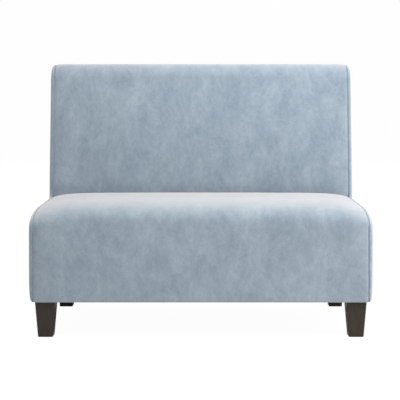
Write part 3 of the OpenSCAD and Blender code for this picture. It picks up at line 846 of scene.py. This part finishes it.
def bar_section(low, high, r, count):
    """Even points in y and z round a box with rounded corners."""
    centres = ((high.y - r, high.z - r), (low.y + r, high.z - r),
               (low.y + r, low.z + r), (high.y - r, low.z + r))
    line = []
    for quarter, (y, z) in enumerate(centres):
        for k in range(7):
            turn = math.pi / 2 * (quarter + k / 6)
            line.append(Vector((y + r * math.cos(turn), z + r * math.sin(turn))))
    return evenly(line + line[:1], count)


def bar_form(low, high, r, count, drop=None):
    """A long pad that fills a box and is rounded all round, or drops with its y."""
    section = bar_section(low, high, r, count)
    limits = [(min(p[i] for p in section), max(p[i] for p in section)) for i in (0, 1)]

    def form(u, v):
        x = spread(u) * high.x
        near_end = max(0.0, abs(x) - high.x + r)
        inward = r - math.sqrt(max(0.0, r * r - near_end * near_end))
        y, z = (min(max(value, a + inward), b - inward)
                for value, (a, b) in zip(section[round(v * (len(section) - 1))], limits))
        return x, y, z - (drop(y) if drop else 0)

    return form


print("pad helpers ready")

# %% [markdown]
# ## Foam, wadding and felt finishes
# Cut foam is a froth of tiny cells, wadding is a tangle of white fibres, and the
# felt under the foam is pressed from mixed waste fibres, so it is speckled. Each
# could be a picture, but noise has no seams and stays sharp from close by.

# %% Finishes of the padding
def foam_finish():
    f = Finish("cream_foam", shown=(0.9, 0.83, 0.6, 1), Specular_IOR_Level=0.2)
    cells = f.cells(0.0016)
    patches = f.noise(0.12, detail=2)
    f.colour(f.blend(f.math("MULTIPLY", cells, 0.5),
                     f.ramp(patches, (0.35, srgb(236, 220, 165)), (0.65, srgb(243, 229, 178))),
                     srgb(206, 186, 128)))
    f.roughness(patches, 0.85, 0.95)
    f.bump(cells, 0.0006, 0.7)
    return f.material


def wadding_finish():
    f = Finish("white_wadding", shown=(0.9, 0.9, 0.88, 1), Sheen_Weight=0.3, Sheen_Roughness=0.6)
    tangle = f.noise((0.006, 0.003, 0.006), detail=4, rough=0.7, twist=3)
    tufts = f.noise(0.03, detail=3, twist=1)
    f.colour(f.ramp(tangle, (0.3, srgb(226, 225, 219)), (0.7, srgb(245, 245, 241))))
    f.roughness(tufts, 0.85, 1)
    f.bump(f.math("ADD", tangle, tufts), 0.0012, 0.6)
    return f.material


def felt_finish():
    f = Finish("speckled_felt", shown=(0.4, 0.39, 0.37, 1), Sheen_Weight=0.2, Sheen_Roughness=0.7)
    fibres = f.noise(0.004, detail=4, rough=0.8, twist=2)
    hue = f.noise(0.003, detail=2, rough=0.9)
    f.colour(f.blend(f.step(hue, 0.55, 0.62),
                     f.ramp(fibres, (0.35, srgb(84, 82, 80)), (0.65, srgb(150, 146, 138))),
                     f.ramp(fibres, (0.4, srgb(112, 64, 58)), (0.6, srgb(70, 86, 118)))))
    f.roughness(fibres, 0.85, 1)
    f.bump(fibres, 0.0008, 0.7)
    return f.material


cream_foam, white_wadding, speckled_felt = foam_finish(), wadding_finish(), felt_finish()
print("padding finishes:", cream_foam.name, white_wadding.name, speckled_felt.name)

# %% [markdown]
# ## Seat foam over the springs
# One thick block of foam fills the seat. Its top is the cover's form, one cloth
# thickness lower, and its underside follows the arch of the spring bed. A boolean
# could cut it out of a block, but the grid keeps its rows in line with the cover's.

# %% Seat foam
CLIP_IN, ARCH_RISE = 0.006, 0.016
low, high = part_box("spring_clips")
ARCH_Y, ARCH_HALF = (low.y + high.y) / 2, (high.y - low.y) / 2 - CLIP_IN
ARCH_R = (ARCH_HALF ** 2 + ARCH_RISE ** 2) / (2 * ARCH_RISE)
FELT_LOW, FELT_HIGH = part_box("spring_pad")


def arch_drop(y):
    """How far the spring bed's arch lies below its crown."""
    away = min(max(y, FELT_LOW.y), FELT_HIGH.y) - ARCH_Y
    return ARCH_R - math.sqrt(ARCH_R ** 2 - away ** 2)


FOAM_STEPS = (3, 5, 24, 26, 3, 24)
FOAM_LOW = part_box("seat_foam")[0].z


def seat_foam_form(u, v):
    x = spread(u) * COVER_X
    inward = CLOTH + GAP + groove(x)
    part, share = along_parts(FOAM_STEPS, v)
    rear, front = BACK_Y - COVER_GAP - inward, seat_front(x, inward)
    if part == TUCK:
        top = seat_section(x, TURN, 0, inward)[1]
        return x, rear, FOAM_LOW + share * (top - FOAM_LOW)
    if part < FACE:
        return (x, *seat_section(x, part, share, inward))
    if part == FACE:
        return x, front, NOSE_Z + share * (FOAM_LOW - NOSE_Z)
    y = front + share * (rear - front)
    return x, y, FELT_HIGH.z + GAP - arch_drop(y)


seat_foam = closed_pad("seat_foam_block", 60, sum(FOAM_STEPS), seat_foam_form,
                       cream_foam)
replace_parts(seat_foam, "seat_foam")

# %% [markdown]
# Felt keeps the springs from cutting into the foam, a roll of wadding softens the
# front rail's upper edge, and a sheet of wadding lies between the rail and the
# velvet. Each could be a bevelled cube, but all three are long bars with rounded
# ends, so one form serves, with another box and rounding for each.

# %% Felt, edge roll and front wadding
FELT_R, ROLL_R, WRAP_R = 0.0025, 0.0036, 0.004
FELT_THICK = 0.006 - GAP
felt_low = Vector((FELT_LOW.x, FELT_LOW.y, FELT_HIGH.z - FELT_THICK))
felt = closed_pad("spring_felt", 40, 96, bar_form(felt_low, FELT_HIGH, FELT_R, 96, arch_drop),
                  speckled_felt)
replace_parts(felt, "spring_pad")

roll = closed_pad("front_edge_roll", 40, 28, bar_form(*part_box("edge_roll"), ROLL_R, 28),
                  white_wadding)
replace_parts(roll, "edge_roll")

flat_wrap = bar_form(*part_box("front_padding"), WRAP_R, 80)


def front_wrap(u, v):
    x, y, z = flat_wrap(u, v)
    return x, max(y, seat_front(x, CLOTH + GAP + groove(x))), z


wrap = closed_pad("front_wadding", 60, 80, front_wrap, white_wadding)
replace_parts(wrap, "front_padding")

# %% [markdown]
# ## Back foam
# The back's foam is a slab that leans against the webbing, bends over the top rail
# and is cut off square there. It could be bent with a modifier, but its outside has
# to match the cover, so it takes the cover's section and closes it behind.

# %% Back foam
FRAME_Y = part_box("back_foam")[1].y
FRAME_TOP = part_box("left_end_frame")[1].z
STRAP_Y, STRAP_DEPTH = 0.2260, 0.0036
FOAM_OUT, FOAM_IN = (5, 14, 30, 4), 53
FOAM_ROWS = sum(FOAM_OUT) + FOAM_IN + 2
FOAM_TOP = FRAME_TOP + GAP


def foam_back(z):
    """The frame's front face at a height, brought forward by the webbing."""
    return STRAP_Y - (STRAP_DEPTH + GAP) / math.cos(RAKE) + (z - FOOT_Z) * math.tan(RAKE)


FOAM_UP, FOAM_OVER = FOAM_TOP - FOAM_LOW, FRAME_Y - foam_back(FRAME_TOP)
UP_SHARE = FOAM_UP / (FOAM_UP + FOAM_OVER)


def back_foam_form(u, v):
    """Over the top and down the cover's side, then up the webbing and over the rail."""
    x = spread(u) * COVER_X
    inward = CLOTH + GAP + groove(x)
    # the last row meets the first
    place = v * FOAM_ROWS if v < 1 else 0
    if place <= sum(FOAM_OUT):
        part, share = along_parts(FOAM_OUT, place / sum(FOAM_OUT))
        if part == 0:
            end = back_section(x, FRONT_TURN, 0, inward)[0]
            return x, FRAME_Y + share * (end - FRAME_Y), back_top(x, inward)
        y, z = back_section(x, part + OVER, share, inward)
        return x, y, max(z, FOAM_LOW)
    share = min(max((place - sum(FOAM_OUT) - 1) / FOAM_IN, 0), 1)
    if share < UP_SHARE:
        z = FOAM_LOW + share / UP_SHARE * FOAM_UP
        return x, foam_back(z), z
    over = (share - UP_SHARE) / (1 - UP_SHARE) * FOAM_OVER
    return x, foam_back(FRAME_TOP) + over, FOAM_TOP


back_foam = closed_pad("back_foam_block", 60, FOAM_ROWS, back_foam_form, cream_foam)
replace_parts(back_foam, "back_foam")

# %% [markdown]
# ## Webbing
# Behind the foam five elastic straps run up and four run across, each going over
# one and under the next, which is what keeps them flat. A flat lattice would be
# quicker, but straps would cut through each other at every crossing. So each strap
# is a strip of squares that dips behind where its turn comes.

# %% Webbing finish
def webbing_finish():
    f = Finish("elastic_webbing", shown=(0.2, 0.18, 0.17, 1), Specular_IOR_Level=0.3)
    dust = f.noise(0.03, detail=3)
    weave = f.math("MULTIPLY", f.wave(0.0024, "X", source="UV"), f.wave(0.0016, "Y", source="UV"))
    f.colour(f.blend(weave, f.ramp(dust, (0.35, srgb(44, 40, 38)), (0.7, srgb(58, 52, 48))),
                     srgb(96, 84, 74)))
    f.roughness(dust, 0.6, 0.8)
    f.bump(weave, 0.0005, 0.8)
    return f.material


webbing = webbing_finish()
print("strap finish:", webbing.name)

# %% Woven straps
STRAP_W, STRAP_T, STRAP_GAP = 0.05, 0.0016, 0.0002
STRAP_STEPS, STRAP_END, STRAP_LOW, STRAP_SHORT = 90, 0.586, -0.065, 0.015
CROSS_FLAT, CROSS_EASE = 0.026, 0.05
FRAME_IN, UP_PITCH = 0.577, 0.38
SLOPE = (FRAME_TOP - FOOT_Z) / math.cos(RAKE)
lean = Matrix.Translation((0, STRAP_Y, FOOT_Z)) @ Matrix.Rotation(-RAKE, 4, "X")
up_places = [c * UP_PITCH * FRAME_IN for c in (-2, -1, 0, 1, 2)]
cross_places = [s * SLOPE for s in (0.14, 0.38, 0.62, 0.86)]


def strap(bm, flat, start, end, crossings, first, place):
    """One strap as a strip of squares that dips behind every second crossing."""
    made = bmesh.ops.create_grid(bm, x_segments=4, y_segments=STRAP_STEPS, size=0.5)["verts"]
    for face in {f for v in made for f in v.link_faces}:
        for loop in face.loops:
            loop[flat].uv = (loop.vert.co.x * STRAP_W, loop.vert.co.y * (end - start))
    for v in made:
        run = start + (v.co.y + 0.5) * (end - start)
        behind = sum((i + first) % 2 * max(0, 1 - max(0, abs(run - c) - CROSS_FLAT) / CROSS_EASE)
                     for i, c in enumerate(crossings))
        layer = 0.5 - 0.5 * math.cos(math.pi * min(1, behind))
        depth = STRAP_GAP + STRAP_T / 2 + layer * (STRAP_T + STRAP_GAP)
        v.co = lean @ place(run, v.co.x * STRAP_W, -depth)


bm = bmesh.new()
flat = bm.loops.layers.uv.new("cloth")
for i, x in enumerate(up_places):
    strap(bm, flat, STRAP_LOW, SLOPE - STRAP_SHORT, cross_places, i % 2,
          lambda run, side, depth, x=x: Vector((x + side, depth, run)))
for j, z in enumerate(cross_places):
    strap(bm, flat, -STRAP_END, STRAP_END, up_places, (j + 1) % 2,
          lambda run, side, depth, z=z: Vector((run, depth, z - side)))
straps = piece_from(bm, "back_straps", webbing)
solidify(straps, STRAP_T - 0.0001, offset=0)
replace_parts(straps, "back_webbing")
print("straps", len(straps.data.polygons), "faces")

# %% [markdown]
# ## Finishes of the frame
# The frame keeps the solids of the measured model. Pine shows long growth lines
# along the board, and plywood shows its plies on the edges and a plain veneer on
# the face. Noise drawn out along one axis gives the grain without unwrapping.

# %% Timber and plywood
def timber_finish(name, along):
    """Pine with its grain along one axis, 0 for X and 2 for Z."""
    f = Finish(name, shown=(0.78, 0.64, 0.44, 1), Specular_IOR_Level=0.3)
    size, fine = [0.02] * 3, [0.0012] * 3
    size[along], fine[along] = 0.6, 0.05
    lines = f.math("FRACT", f.math("MULTIPLY", f.noise(size, detail=2, twist=0.8), 9))
    pores = f.noise(fine, detail=3, rough=0.7)
    f.colour(f.blend(f.math("MULTIPLY", pores, 0.35),
                     f.ramp(lines, (0, srgb(222, 190, 140)), (0.7, srgb(206, 168, 114)),
                            (0.95, srgb(182, 138, 88))),
                     srgb(168, 128, 84)))
    f.roughness(pores, 0.55, 0.8)
    f.bump(f.math("ADD", lines, pores), 0.0003, 0.4)
    return f.material


def plywood_finish(name, through):
    """Birch plywood with its plies stacked along one axis."""
    f = Finish(name, shown=(0.82, 0.7, 0.5, 1), Specular_IOR_Level=0.3)
    veneer = f.noise((0.05, 0.05, 0.5), detail=3, rough=0.6, twist=1.2)
    plies = f.wave(0.0028, "XYZ"[through])
    f.colour(f.blend(f.step(plies, 0.45, 0.55),
                     f.ramp(veneer, (0.35, srgb(214, 184, 138)), (0.65, srgb(230, 204, 160))),
                     srgb(176, 138, 92)))
    f.roughness(veneer, 0.5, 0.75)
    f.bump(veneer, 0.0003, 0.3)
    return f.material


pine = timber_finish("pine_along_x", 0)
end_ply, back_ply = plywood_finish("end_plywood", 0), plywood_finish("back_plywood", 1)
print("wood finishes:", pine.name, end_ply.name, back_ply.name)

# %% [markdown]
# The bolts, tee nuts, clips and stems are zinc plated, the inserts are turned brass
# and the feet are moulded nylon. The metals could share one grey, but zinc is
# patchy and dull and brass is bright. So one recipe takes the two tones and the
# roughness of each.

# %% Metal and nylon
def metal_finish(name, dark, light, rough, patch):
    f = Finish(name, shown=light, Metallic=1.0)
    spangle = f.noise(patch, detail=3, rough=0.6, twist=0.5)
    f.colour(f.ramp(spangle, (0.35, dark), (0.65, light)))
    f.roughness(spangle, rough, rough + 0.18)
    f.bump(f.noise(0.0008, detail=2), 0.00005, 0.5)
    return f.material


def nylon_finish():
    f = Finish("black_nylon", shown=(0.05, 0.05, 0.05, 1), Specular_IOR_Level=0.45)
    scuffs = f.noise(0.004, detail=4, rough=0.7)
    f.colour(f.ramp(scuffs, (0.4, srgb(26, 26, 28)), (0.75, srgb(52, 52, 54))))
    f.roughness(scuffs, 0.35, 0.6)
    f.bump(scuffs, 0.0001, 0.5)
    return f.material


zinc = metal_finish("bright_zinc", srgb(150, 152, 156), srgb(196, 197, 200), 0.25, 0.006)
brass = metal_finish("turned_brass", srgb(170, 132, 66), srgb(205, 168, 92), 0.2, 0.01)
nylon = nylon_finish()
print("metal and plastic finishes:", zinc.name, brass.name, nylon.name)

# %% [markdown]
# The solids of the frame already have a material slot each. A slot could be filled
# by hand in the editor, but a table of finishes and nodes is shorter to read.

# %% Finishes on the frame's own solids
CORNERS = [f"{end}_{side}" for end in ("front", "rear") for side in ("left", "right")]
FRAME_FINISHES = {
    pine: ["front_rail", "spring_rail", "rear_bottom_rail", "back_lower_rail", "back_top_rail",
           "corner_blocks"],
    end_ply: ["left_end_frame", "right_end_frame", "centre_frame"],
    back_ply: ["outer_back_board"],
    zinc: ["hanger_bolts", "tee_nuts", "spring_clips"]
    + [corner + "_glide_stem" for corner in CORNERS],
    brass: ["leg_inserts"],
    nylon: [corner + "_glide_foot" for corner in CORNERS],
}


def dress(nodes, finish):
    """Gives solids of the measured frame a finish."""
    for node in nodes:
        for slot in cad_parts[node].material_slots:
            slot.material = finish


for finish, nodes in FRAME_FINISHES.items():
    dress(nodes, finish)
print("finished", sum(len(nodes) for nodes in FRAME_FINISHES.values()), "solids of the frame")

# %% [markdown]
# ## Outer back
# The outer back is a plain velvet panel over thin wadding, closed last. A bevelled
# box would look hard, so it is a grid that is raised by its distance from the edge.
# Its upper edge lies on the back cover, and the rest on the plywood board.

# %% Outer back panel
low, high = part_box("outer_back_panel")
low.z = BASE_Z
CUSHION, CUSHION_R = 0.0042, 0.014
BOARD_TOP, UPPER_Y = 0.92, BACK_REAR + 0.0005


def outer_back_form(u, v):
    x, z = spread(u) * high.x, low.z + (spread(v) + 1) / 2 * (high.z - low.z)
    away = min(high.x - abs(x), high.z - z, z - low.z)
    crown = math.sqrt(max(0, 1 - (1 - min(1, away / CUSHION_R)) ** 2))
    return x, high.y - CUSHION + CUSHION * crown, z


bm, _ = lay(70, 60, outer_back_form)
flat = bm.loops.layers.uv.active
for face in bm.faces:
    for loop in face.loops:
        loop[flat].uv = (loop.vert.co.x, loop.vert.co.z)
for v in verts_of(bmesh.ops.extrude_edge_only(bm, edges=border_of(bm))["geom"]):
    v.co.y = low.y + COVER_GAP if v.co.z < BOARD_TOP else UPPER_Y
bmesh.ops.holes_fill(bm, edges=border_of(bm), sides=0)
bmesh.ops.recalc_face_normals(bm, faces=bm.faces)
outer_back = piece_from(bm, "outer_back_velvet", cover_velvet)
outer_back.data.set_sharp_from_angle(angle=math.radians(50))
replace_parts(outer_back, "outer_back_panel")
print("outer back", len(outer_back.data.polygons), "faces")

# %% [markdown]
# ## Dust cloth
# The dust cloth is a black unwoven cloth, stapled to the frame's underside. It
# hangs down by about half a millimetre between its staples. A simulation would
# find much the same form, so a sine wave does. The staples are bent wire, swept
# like the piping, and are left out where a leg's shoulder covers the cloth.

# %% Dust cloth
def cambric_finish():
    f = Finish("black_cambric", shown=(0.05, 0.05, 0.05, 1), Specular_IOR_Level=0.25)
    web = f.noise((0.0025, 0.0012, 0.01), detail=3, rough=0.7, twist=1.5)
    dots = f.cells(0.0022)
    f.colour(f.ramp(web, (0.35, srgb(24, 24, 25)), (0.7, srgb(48, 48, 49))))
    f.roughness(web, 0.75, 0.95)
    f.bump(f.math("ADD", dots, web), 0.0003, 0.6)
    return f.material


low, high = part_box("dust_cover")
mid_y, half_y = (low.y + high.y) / 2, (high.y - low.y) / 2
CLOTH_UP, SAG = 0.0012, 0.00044


def dust_form(u, v):
    x, y = (2 * u - 1) * high.x, low.y + v * (high.y - low.y)
    edge = min(1 - abs(x) / high.x, 1 - abs(y - mid_y) / half_y)
    sag = SAG * (1 - math.exp(-edge / 0.12)) * (1 + 0.4 * math.sin(9 * x) * math.cos(7 * y))
    return x, y, low.z + CLOTH_UP - sag


bm, dust_length = lay(80, 48, dust_form)
dust_cloth = piece_from(bm, "black_dust_cloth", cambric_finish())
solidify(dust_cloth, 0.0004, offset=0)
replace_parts(dust_cloth, "dust_cover")
print("dust cloth", round(2 * high.x, 3), "x", round(dust_length, 3))

# %% Staples
STAPLE_PITCH, STAPLE_R = 0.07, 0.0005
LEG_X, LEG_FRONT, LEG_REAR, LEG_CLEAR = 0.5515, -0.303, 0.28, 0.045


def by_leg(x, y):
    """Whether a staple would lie under a leg's shoulder."""
    return (abs(abs(x) - LEG_X) < LEG_CLEAR
            and min(abs(y - LEG_FRONT), abs(y - LEG_REAR)) < LEG_CLEAR)


half = [(0.006, 0.0012), (0.0056, 0.0001), (0.0048, 0)]
bridge = [Vector((-s, 0, h)) for s, h in half] + [Vector((s, 0, h)) for s, h in half[::-1]]
places = [(x * STAPLE_PITCH, y, 0) for x in range(-8, 9) for y in (low.y + 0.005, high.y - 0.012)]
places += [(side * (high.x - 0.007), mid_y + k * STAPLE_PITCH, 1)
           for side in (-1, 1) for k in range(-4, 5)]
bm = bmesh.new()
for x, y, turned in places:
    if not by_leg(x, y):
        wire = [Vector((-p.y, p.x, p.z)) if turned else p for p in bridge]
        sweep(bm, [Vector((x, y, low.z + 0.0004)) + p for p in wire], STAPLE_R, 6)
staples = wire_piece(bm, "dust_cloth_staples", zinc)
print("staples", len(staples.data.polygons), "faces")

# %% [markdown]
# ## Sinuous springs
# A sinuous spring is one steel wire bent to and fro across a strip. Bars are joined
# by half round bends, and the whole strip arches up between its clips. A curve
# object could be arrayed, but then the bends would tilt off the arch. So one wire
# is swept along that line, then copied for each of the seven places.

# %% Spring steel
def spring_finish():
    f = Finish("oiled_spring_steel", shown=(0.3, 0.3, 0.32, 1), Metallic=1.0)
    skin = f.noise(0.02, detail=4, rough=0.6)
    f.colour(f.ramp(skin, (0.35, srgb(96, 97, 102)), (0.6, srgb(128, 129, 133)),
                    (0.75, srgb(118, 108, 98))))
    f.roughness(skin, 0.28, 0.5)
    f.bump(f.noise(0.002, detail=2), 0.0001, 0.4)
    return f.material


spring_steel = spring_finish()
dress(["spring_tie_wires"], spring_steel)
print("spring finish:", spring_steel.name)

# %% Springs
SPRINGS, BARS, WIRE, STRIP_W = 7, 17, 0.0038, 0.05
END_TURN = math.asin(ARCH_HALF / ARCH_R)
BAR_TURN = 2 * END_TURN / (BARS - 1)
BEND_R = ARCH_R * math.sin(BAR_TURN / 2)
BAR_HALF = STRIP_W / 2 - BEND_R - WIRE / 2
CROWN_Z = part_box("seat_springs")[1].z - WIRE / 2
PITCH = 2 * (FRAME_IN - STRIP_W / 2) / SPRINGS


def on_arch(x, turn):
    """A point of the wire's middle line: x across the strip, and turn along the arch."""
    return Vector((x, ARCH_Y + ARCH_R * math.sin(turn), CROWN_Z - ARCH_R + ARCH_R * math.cos(turn)))


line = [on_arch(-BAR_HALF, -END_TURN)]
for k in range(BARS - 1):
    side = 1 if k % 2 == 0 else -1
    for bend in range(-90, 91, 15):
        a = math.radians(bend)
        line.append(on_arch(side * (BAR_HALF + BEND_R * math.cos(a)),
                            -END_TURN + BAR_TURN * (k + 0.5 + math.sin(a) / 2)))
line.append(on_arch(BAR_HALF, END_TURN))
bm = bmesh.new()
sweep(bm, line, WIRE / 2, 10)
bmesh.ops.translate(bm, verts=bm.verts, vec=(-(SPRINGS - 1) / 2 * PITCH, 0, 0))
first = list(bm.verts) + list(bm.edges) + list(bm.faces)
for i in range(1, SPRINGS):
    copy = bmesh.ops.duplicate(bm, geom=first)["geom"]
    bmesh.ops.translate(bm, verts=verts_of(copy), vec=(i * PITCH, 0, 0))
springs = wire_piece(bm, "sinuous_springs", spring_steel)
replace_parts(springs, "seat_springs")
print("springs", len(springs.data.polygons), "faces, one wire", round(line_length(line), 3), "m")

# %% [markdown]
# ## Legs
# The legs are a plain hardwood with a dark stain, square and tapered. A tapered
# cube would do for the outside, but each leg has a bore for its bolt and its glide.
# So the measured solid is copied and made a few per cent wider, its bore is left
# alone, and its outer edges are eased, because a real edge catches the light. The
# grain runs up the leg, so the noise is drawn out along Z.

# %% Dark wood finish
def dark_wood():
    f = Finish("dark_wood", shown=(0.2, 0.17, 0.15, 1), Specular_IOR_Level=0.25)
    grain = f.noise((0.004, 0.004, 0.09), detail=5, rough=0.6, twist=0.5)
    pores = f.noise((0.0012, 0.0012, 0.03), detail=3, rough=0.7)
    f.colour(f.ramp(f.weigh(grain, 0.7, pores, 0.3), (0.35, srgb(34, 28, 22)),
                    (0.5, srgb(41, 34, 27)), (0.68, srgb(50, 41, 33))))
    f.roughness(grain, 0.26, 0.4)
    f.bump(pores, 0.0003, 0.4)
    return f.material


leg_wood = dark_wood()
print("leg finish:", leg_wood.name)

# %% Leg helpers
BORE_HALF, CLEAR_TURN = 0.018, 0.3


def off_bore(v, centre):
    """Whether a vertex lies on the leg's outside, and not on a bore round its middle line."""
    return max(abs(v.co.x - centre.x), abs(v.co.y - centre.y)) > BORE_HALF


def merged_copy(node, centre):
    """A measured solid whose loose triangles are joined into flat faces, off its bore."""
    bm = bmesh.new()
    bm.from_mesh(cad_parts[node].data)
    bmesh.ops.remove_doubles(bm, verts=bm.verts, dist=SNAP)
    outer = [e for e in bm.edges if all(off_bore(v, centre) for v in e.verts)]
    bmesh.ops.dissolve_limit(bm, angle_limit=math.radians(1), verts=[], edges=outer)
    return bm


def crisp_edges(bm, centre):
    """The edges of the leg's outside at which two faces meet at a clear angle."""
    return [e for e in bm.edges if len(e.link_faces) == 2 and e.calc_face_angle(0) > CLEAR_TURN
            and all(off_bore(v, centre) for v in e.verts)]


def ease(bm, edges, width, segments):
    """Rounds edges off with a small bevel."""
    bmesh.ops.bevel(bm, geom=edges, offset=width, segments=segments, profile=0.5,
                    affect="EDGES", material=-1)


print("leg helpers ready")

# %% Legs
WIDER, FLARE = 1.05, 0.02
EDGE_EASE, FOOT_EASE = 0.0011, 0.0026
for corner in CORNERS:
    node = corner + "_leg"
    low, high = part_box(node)
    centre = (low + high) / 2
    bm = merged_copy(node, centre)
    for v in bm.verts:
        if off_bore(v, centre):
            wide = WIDER + FLARE * (v.co.z - low.z) / (high.z - low.z)
            v.co.x = centre.x + (v.co.x - centre.x) * wide
            v.co.y = centre.y + (v.co.y - centre.y) * wide
            if v.co.z > high.z - 0.0005:
                v.co.z = BASE_Z
    upright = [e for e in crisp_edges(bm, centre)
               if abs(e.verts[0].co.z - e.verts[1].co.z) > 0.05]
    ease(bm, upright, EDGE_EASE, 2)
    foot_rim = [e for e in crisp_edges(bm, centre) if all(v.co.z < low.z + 0.001 for v in e.verts)]
    ease(bm, foot_rim, FOOT_EASE, 3)
    leg = piece_from(bm, corner + "_wood_leg", leg_wood)
    even = leg.modifiers.new("flat faces", "WEIGHTED_NORMAL")
    even.keep_sharp = True
    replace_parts(leg, node)
    print(leg.name, len(upright) + len(foot_rim), "edges eased")

# %% [markdown]
# ## Light
# The booth stands in a white studio under large soft lamps, the strongest of them
# above and a little to the right. One sun lamp would cast hard shadows, and a
# picture of a studio isn't needed: four area lamps and an even world do. The eye
# and shiny metal see a white backdrop through the light path, while the booth is
# lit by a dimmer one.

# %% Lamps
def area(name, place, aim, size, power):
    """A rectangular lamp that faces its aim."""
    lamp = bpy.data.objects.new(name, bpy.data.lights.new(name, "AREA"))
    bpy.context.scene.collection.objects.link(lamp)
    lamp.location = place
    lamp.rotation_euler = (Vector(aim) - Vector(place)).to_track_quat("-Z", "Y").to_euler()
    lamp.data.shape = "RECTANGLE"
    lamp.data.size, lamp.data.size_y = size
    lamp.data.energy = power


area("top_softbox", (0.3, -0.5, 2.9), (0, -0.1, 0.5), (2.6, 2.0), 38.8)
area("near_softbox", (0.4, -1.3, 2.0), (0, 0.2, 0.7), (1.3, 0.9), 35.7)
area("right_softbox", (2.2, -0.9, 1.0), (0.5, 0, 0.5), (1.6, 1.6), 31.0)
area("rear_softbox", (0.2, 1.6, 2.4), (0, 0, 0.5), (2.4, 1.6), 6)

# %% Backdrop
def show(tree, share, first, second, output):
    """Sends the first shader to the output where share is 0, and the second where it is 1."""
    mix = tree.nodes.new("ShaderNodeMixShader")
    for source, socket in zip((share, first.outputs[0], second.outputs[0]), mix.inputs):
        tree.links.new(source, socket)
    tree.links.new(mix.outputs[0], tree.nodes[output].inputs["Surface"])


world = bpy.data.worlds.new("studio")
bpy.context.scene.world = world
world.use_nodes = True
nodes = world.node_tree.nodes
room, white = nodes["Background"], nodes.new("ShaderNodeBackground")
room.inputs["Color"].default_value = (1, 1, 1, 1)
room.inputs["Strength"].default_value = 0.535
white.inputs["Color"].default_value = (0.99, 0.99, 0.99, 1)
ray, either = nodes.new("ShaderNodeLightPath"), nodes.new("ShaderNodeMath")
either.operation = "MAXIMUM"
for kind, socket in zip(("Is Camera Ray", "Is Glossy Ray"), either.inputs):
    world.node_tree.links.new(ray.outputs[kind], socket)
show(world.node_tree, either.outputs[0], room, white, "World Output")
print("the room lights the booth at", round(room.inputs["Strength"].default_value, 3))

# %% [markdown]
# The floor is one large plane, and only a stage: it isn't part of the booth. It
# could be plain white, but then its far side would grey off. So the eye sees a
# glow mixed in, which keeps it pale and still shows the booth's shadow.

# %% Floor
bm = bmesh.new()
bmesh.ops.create_grid(bm, x_segments=4, y_segments=4, size=12)
floor = object_from(bm, "floor")
f = Finish("pale_floor", Base_Color=(0.8, 0.8, 0.8, 1), Roughness=0.9)
glow, ray = f.add("ShaderNodeEmission"), f.add("ShaderNodeLightPath")
glow.inputs["Strength"].default_value = 1.05
share = f.math("MULTIPLY", ray.outputs["Is Camera Ray"], 0.92)
show(f.tree, share, f.shader, glow, "Material Output")
floor.data.materials.append(f.material)
print("floor", tuple(floor.dimensions))
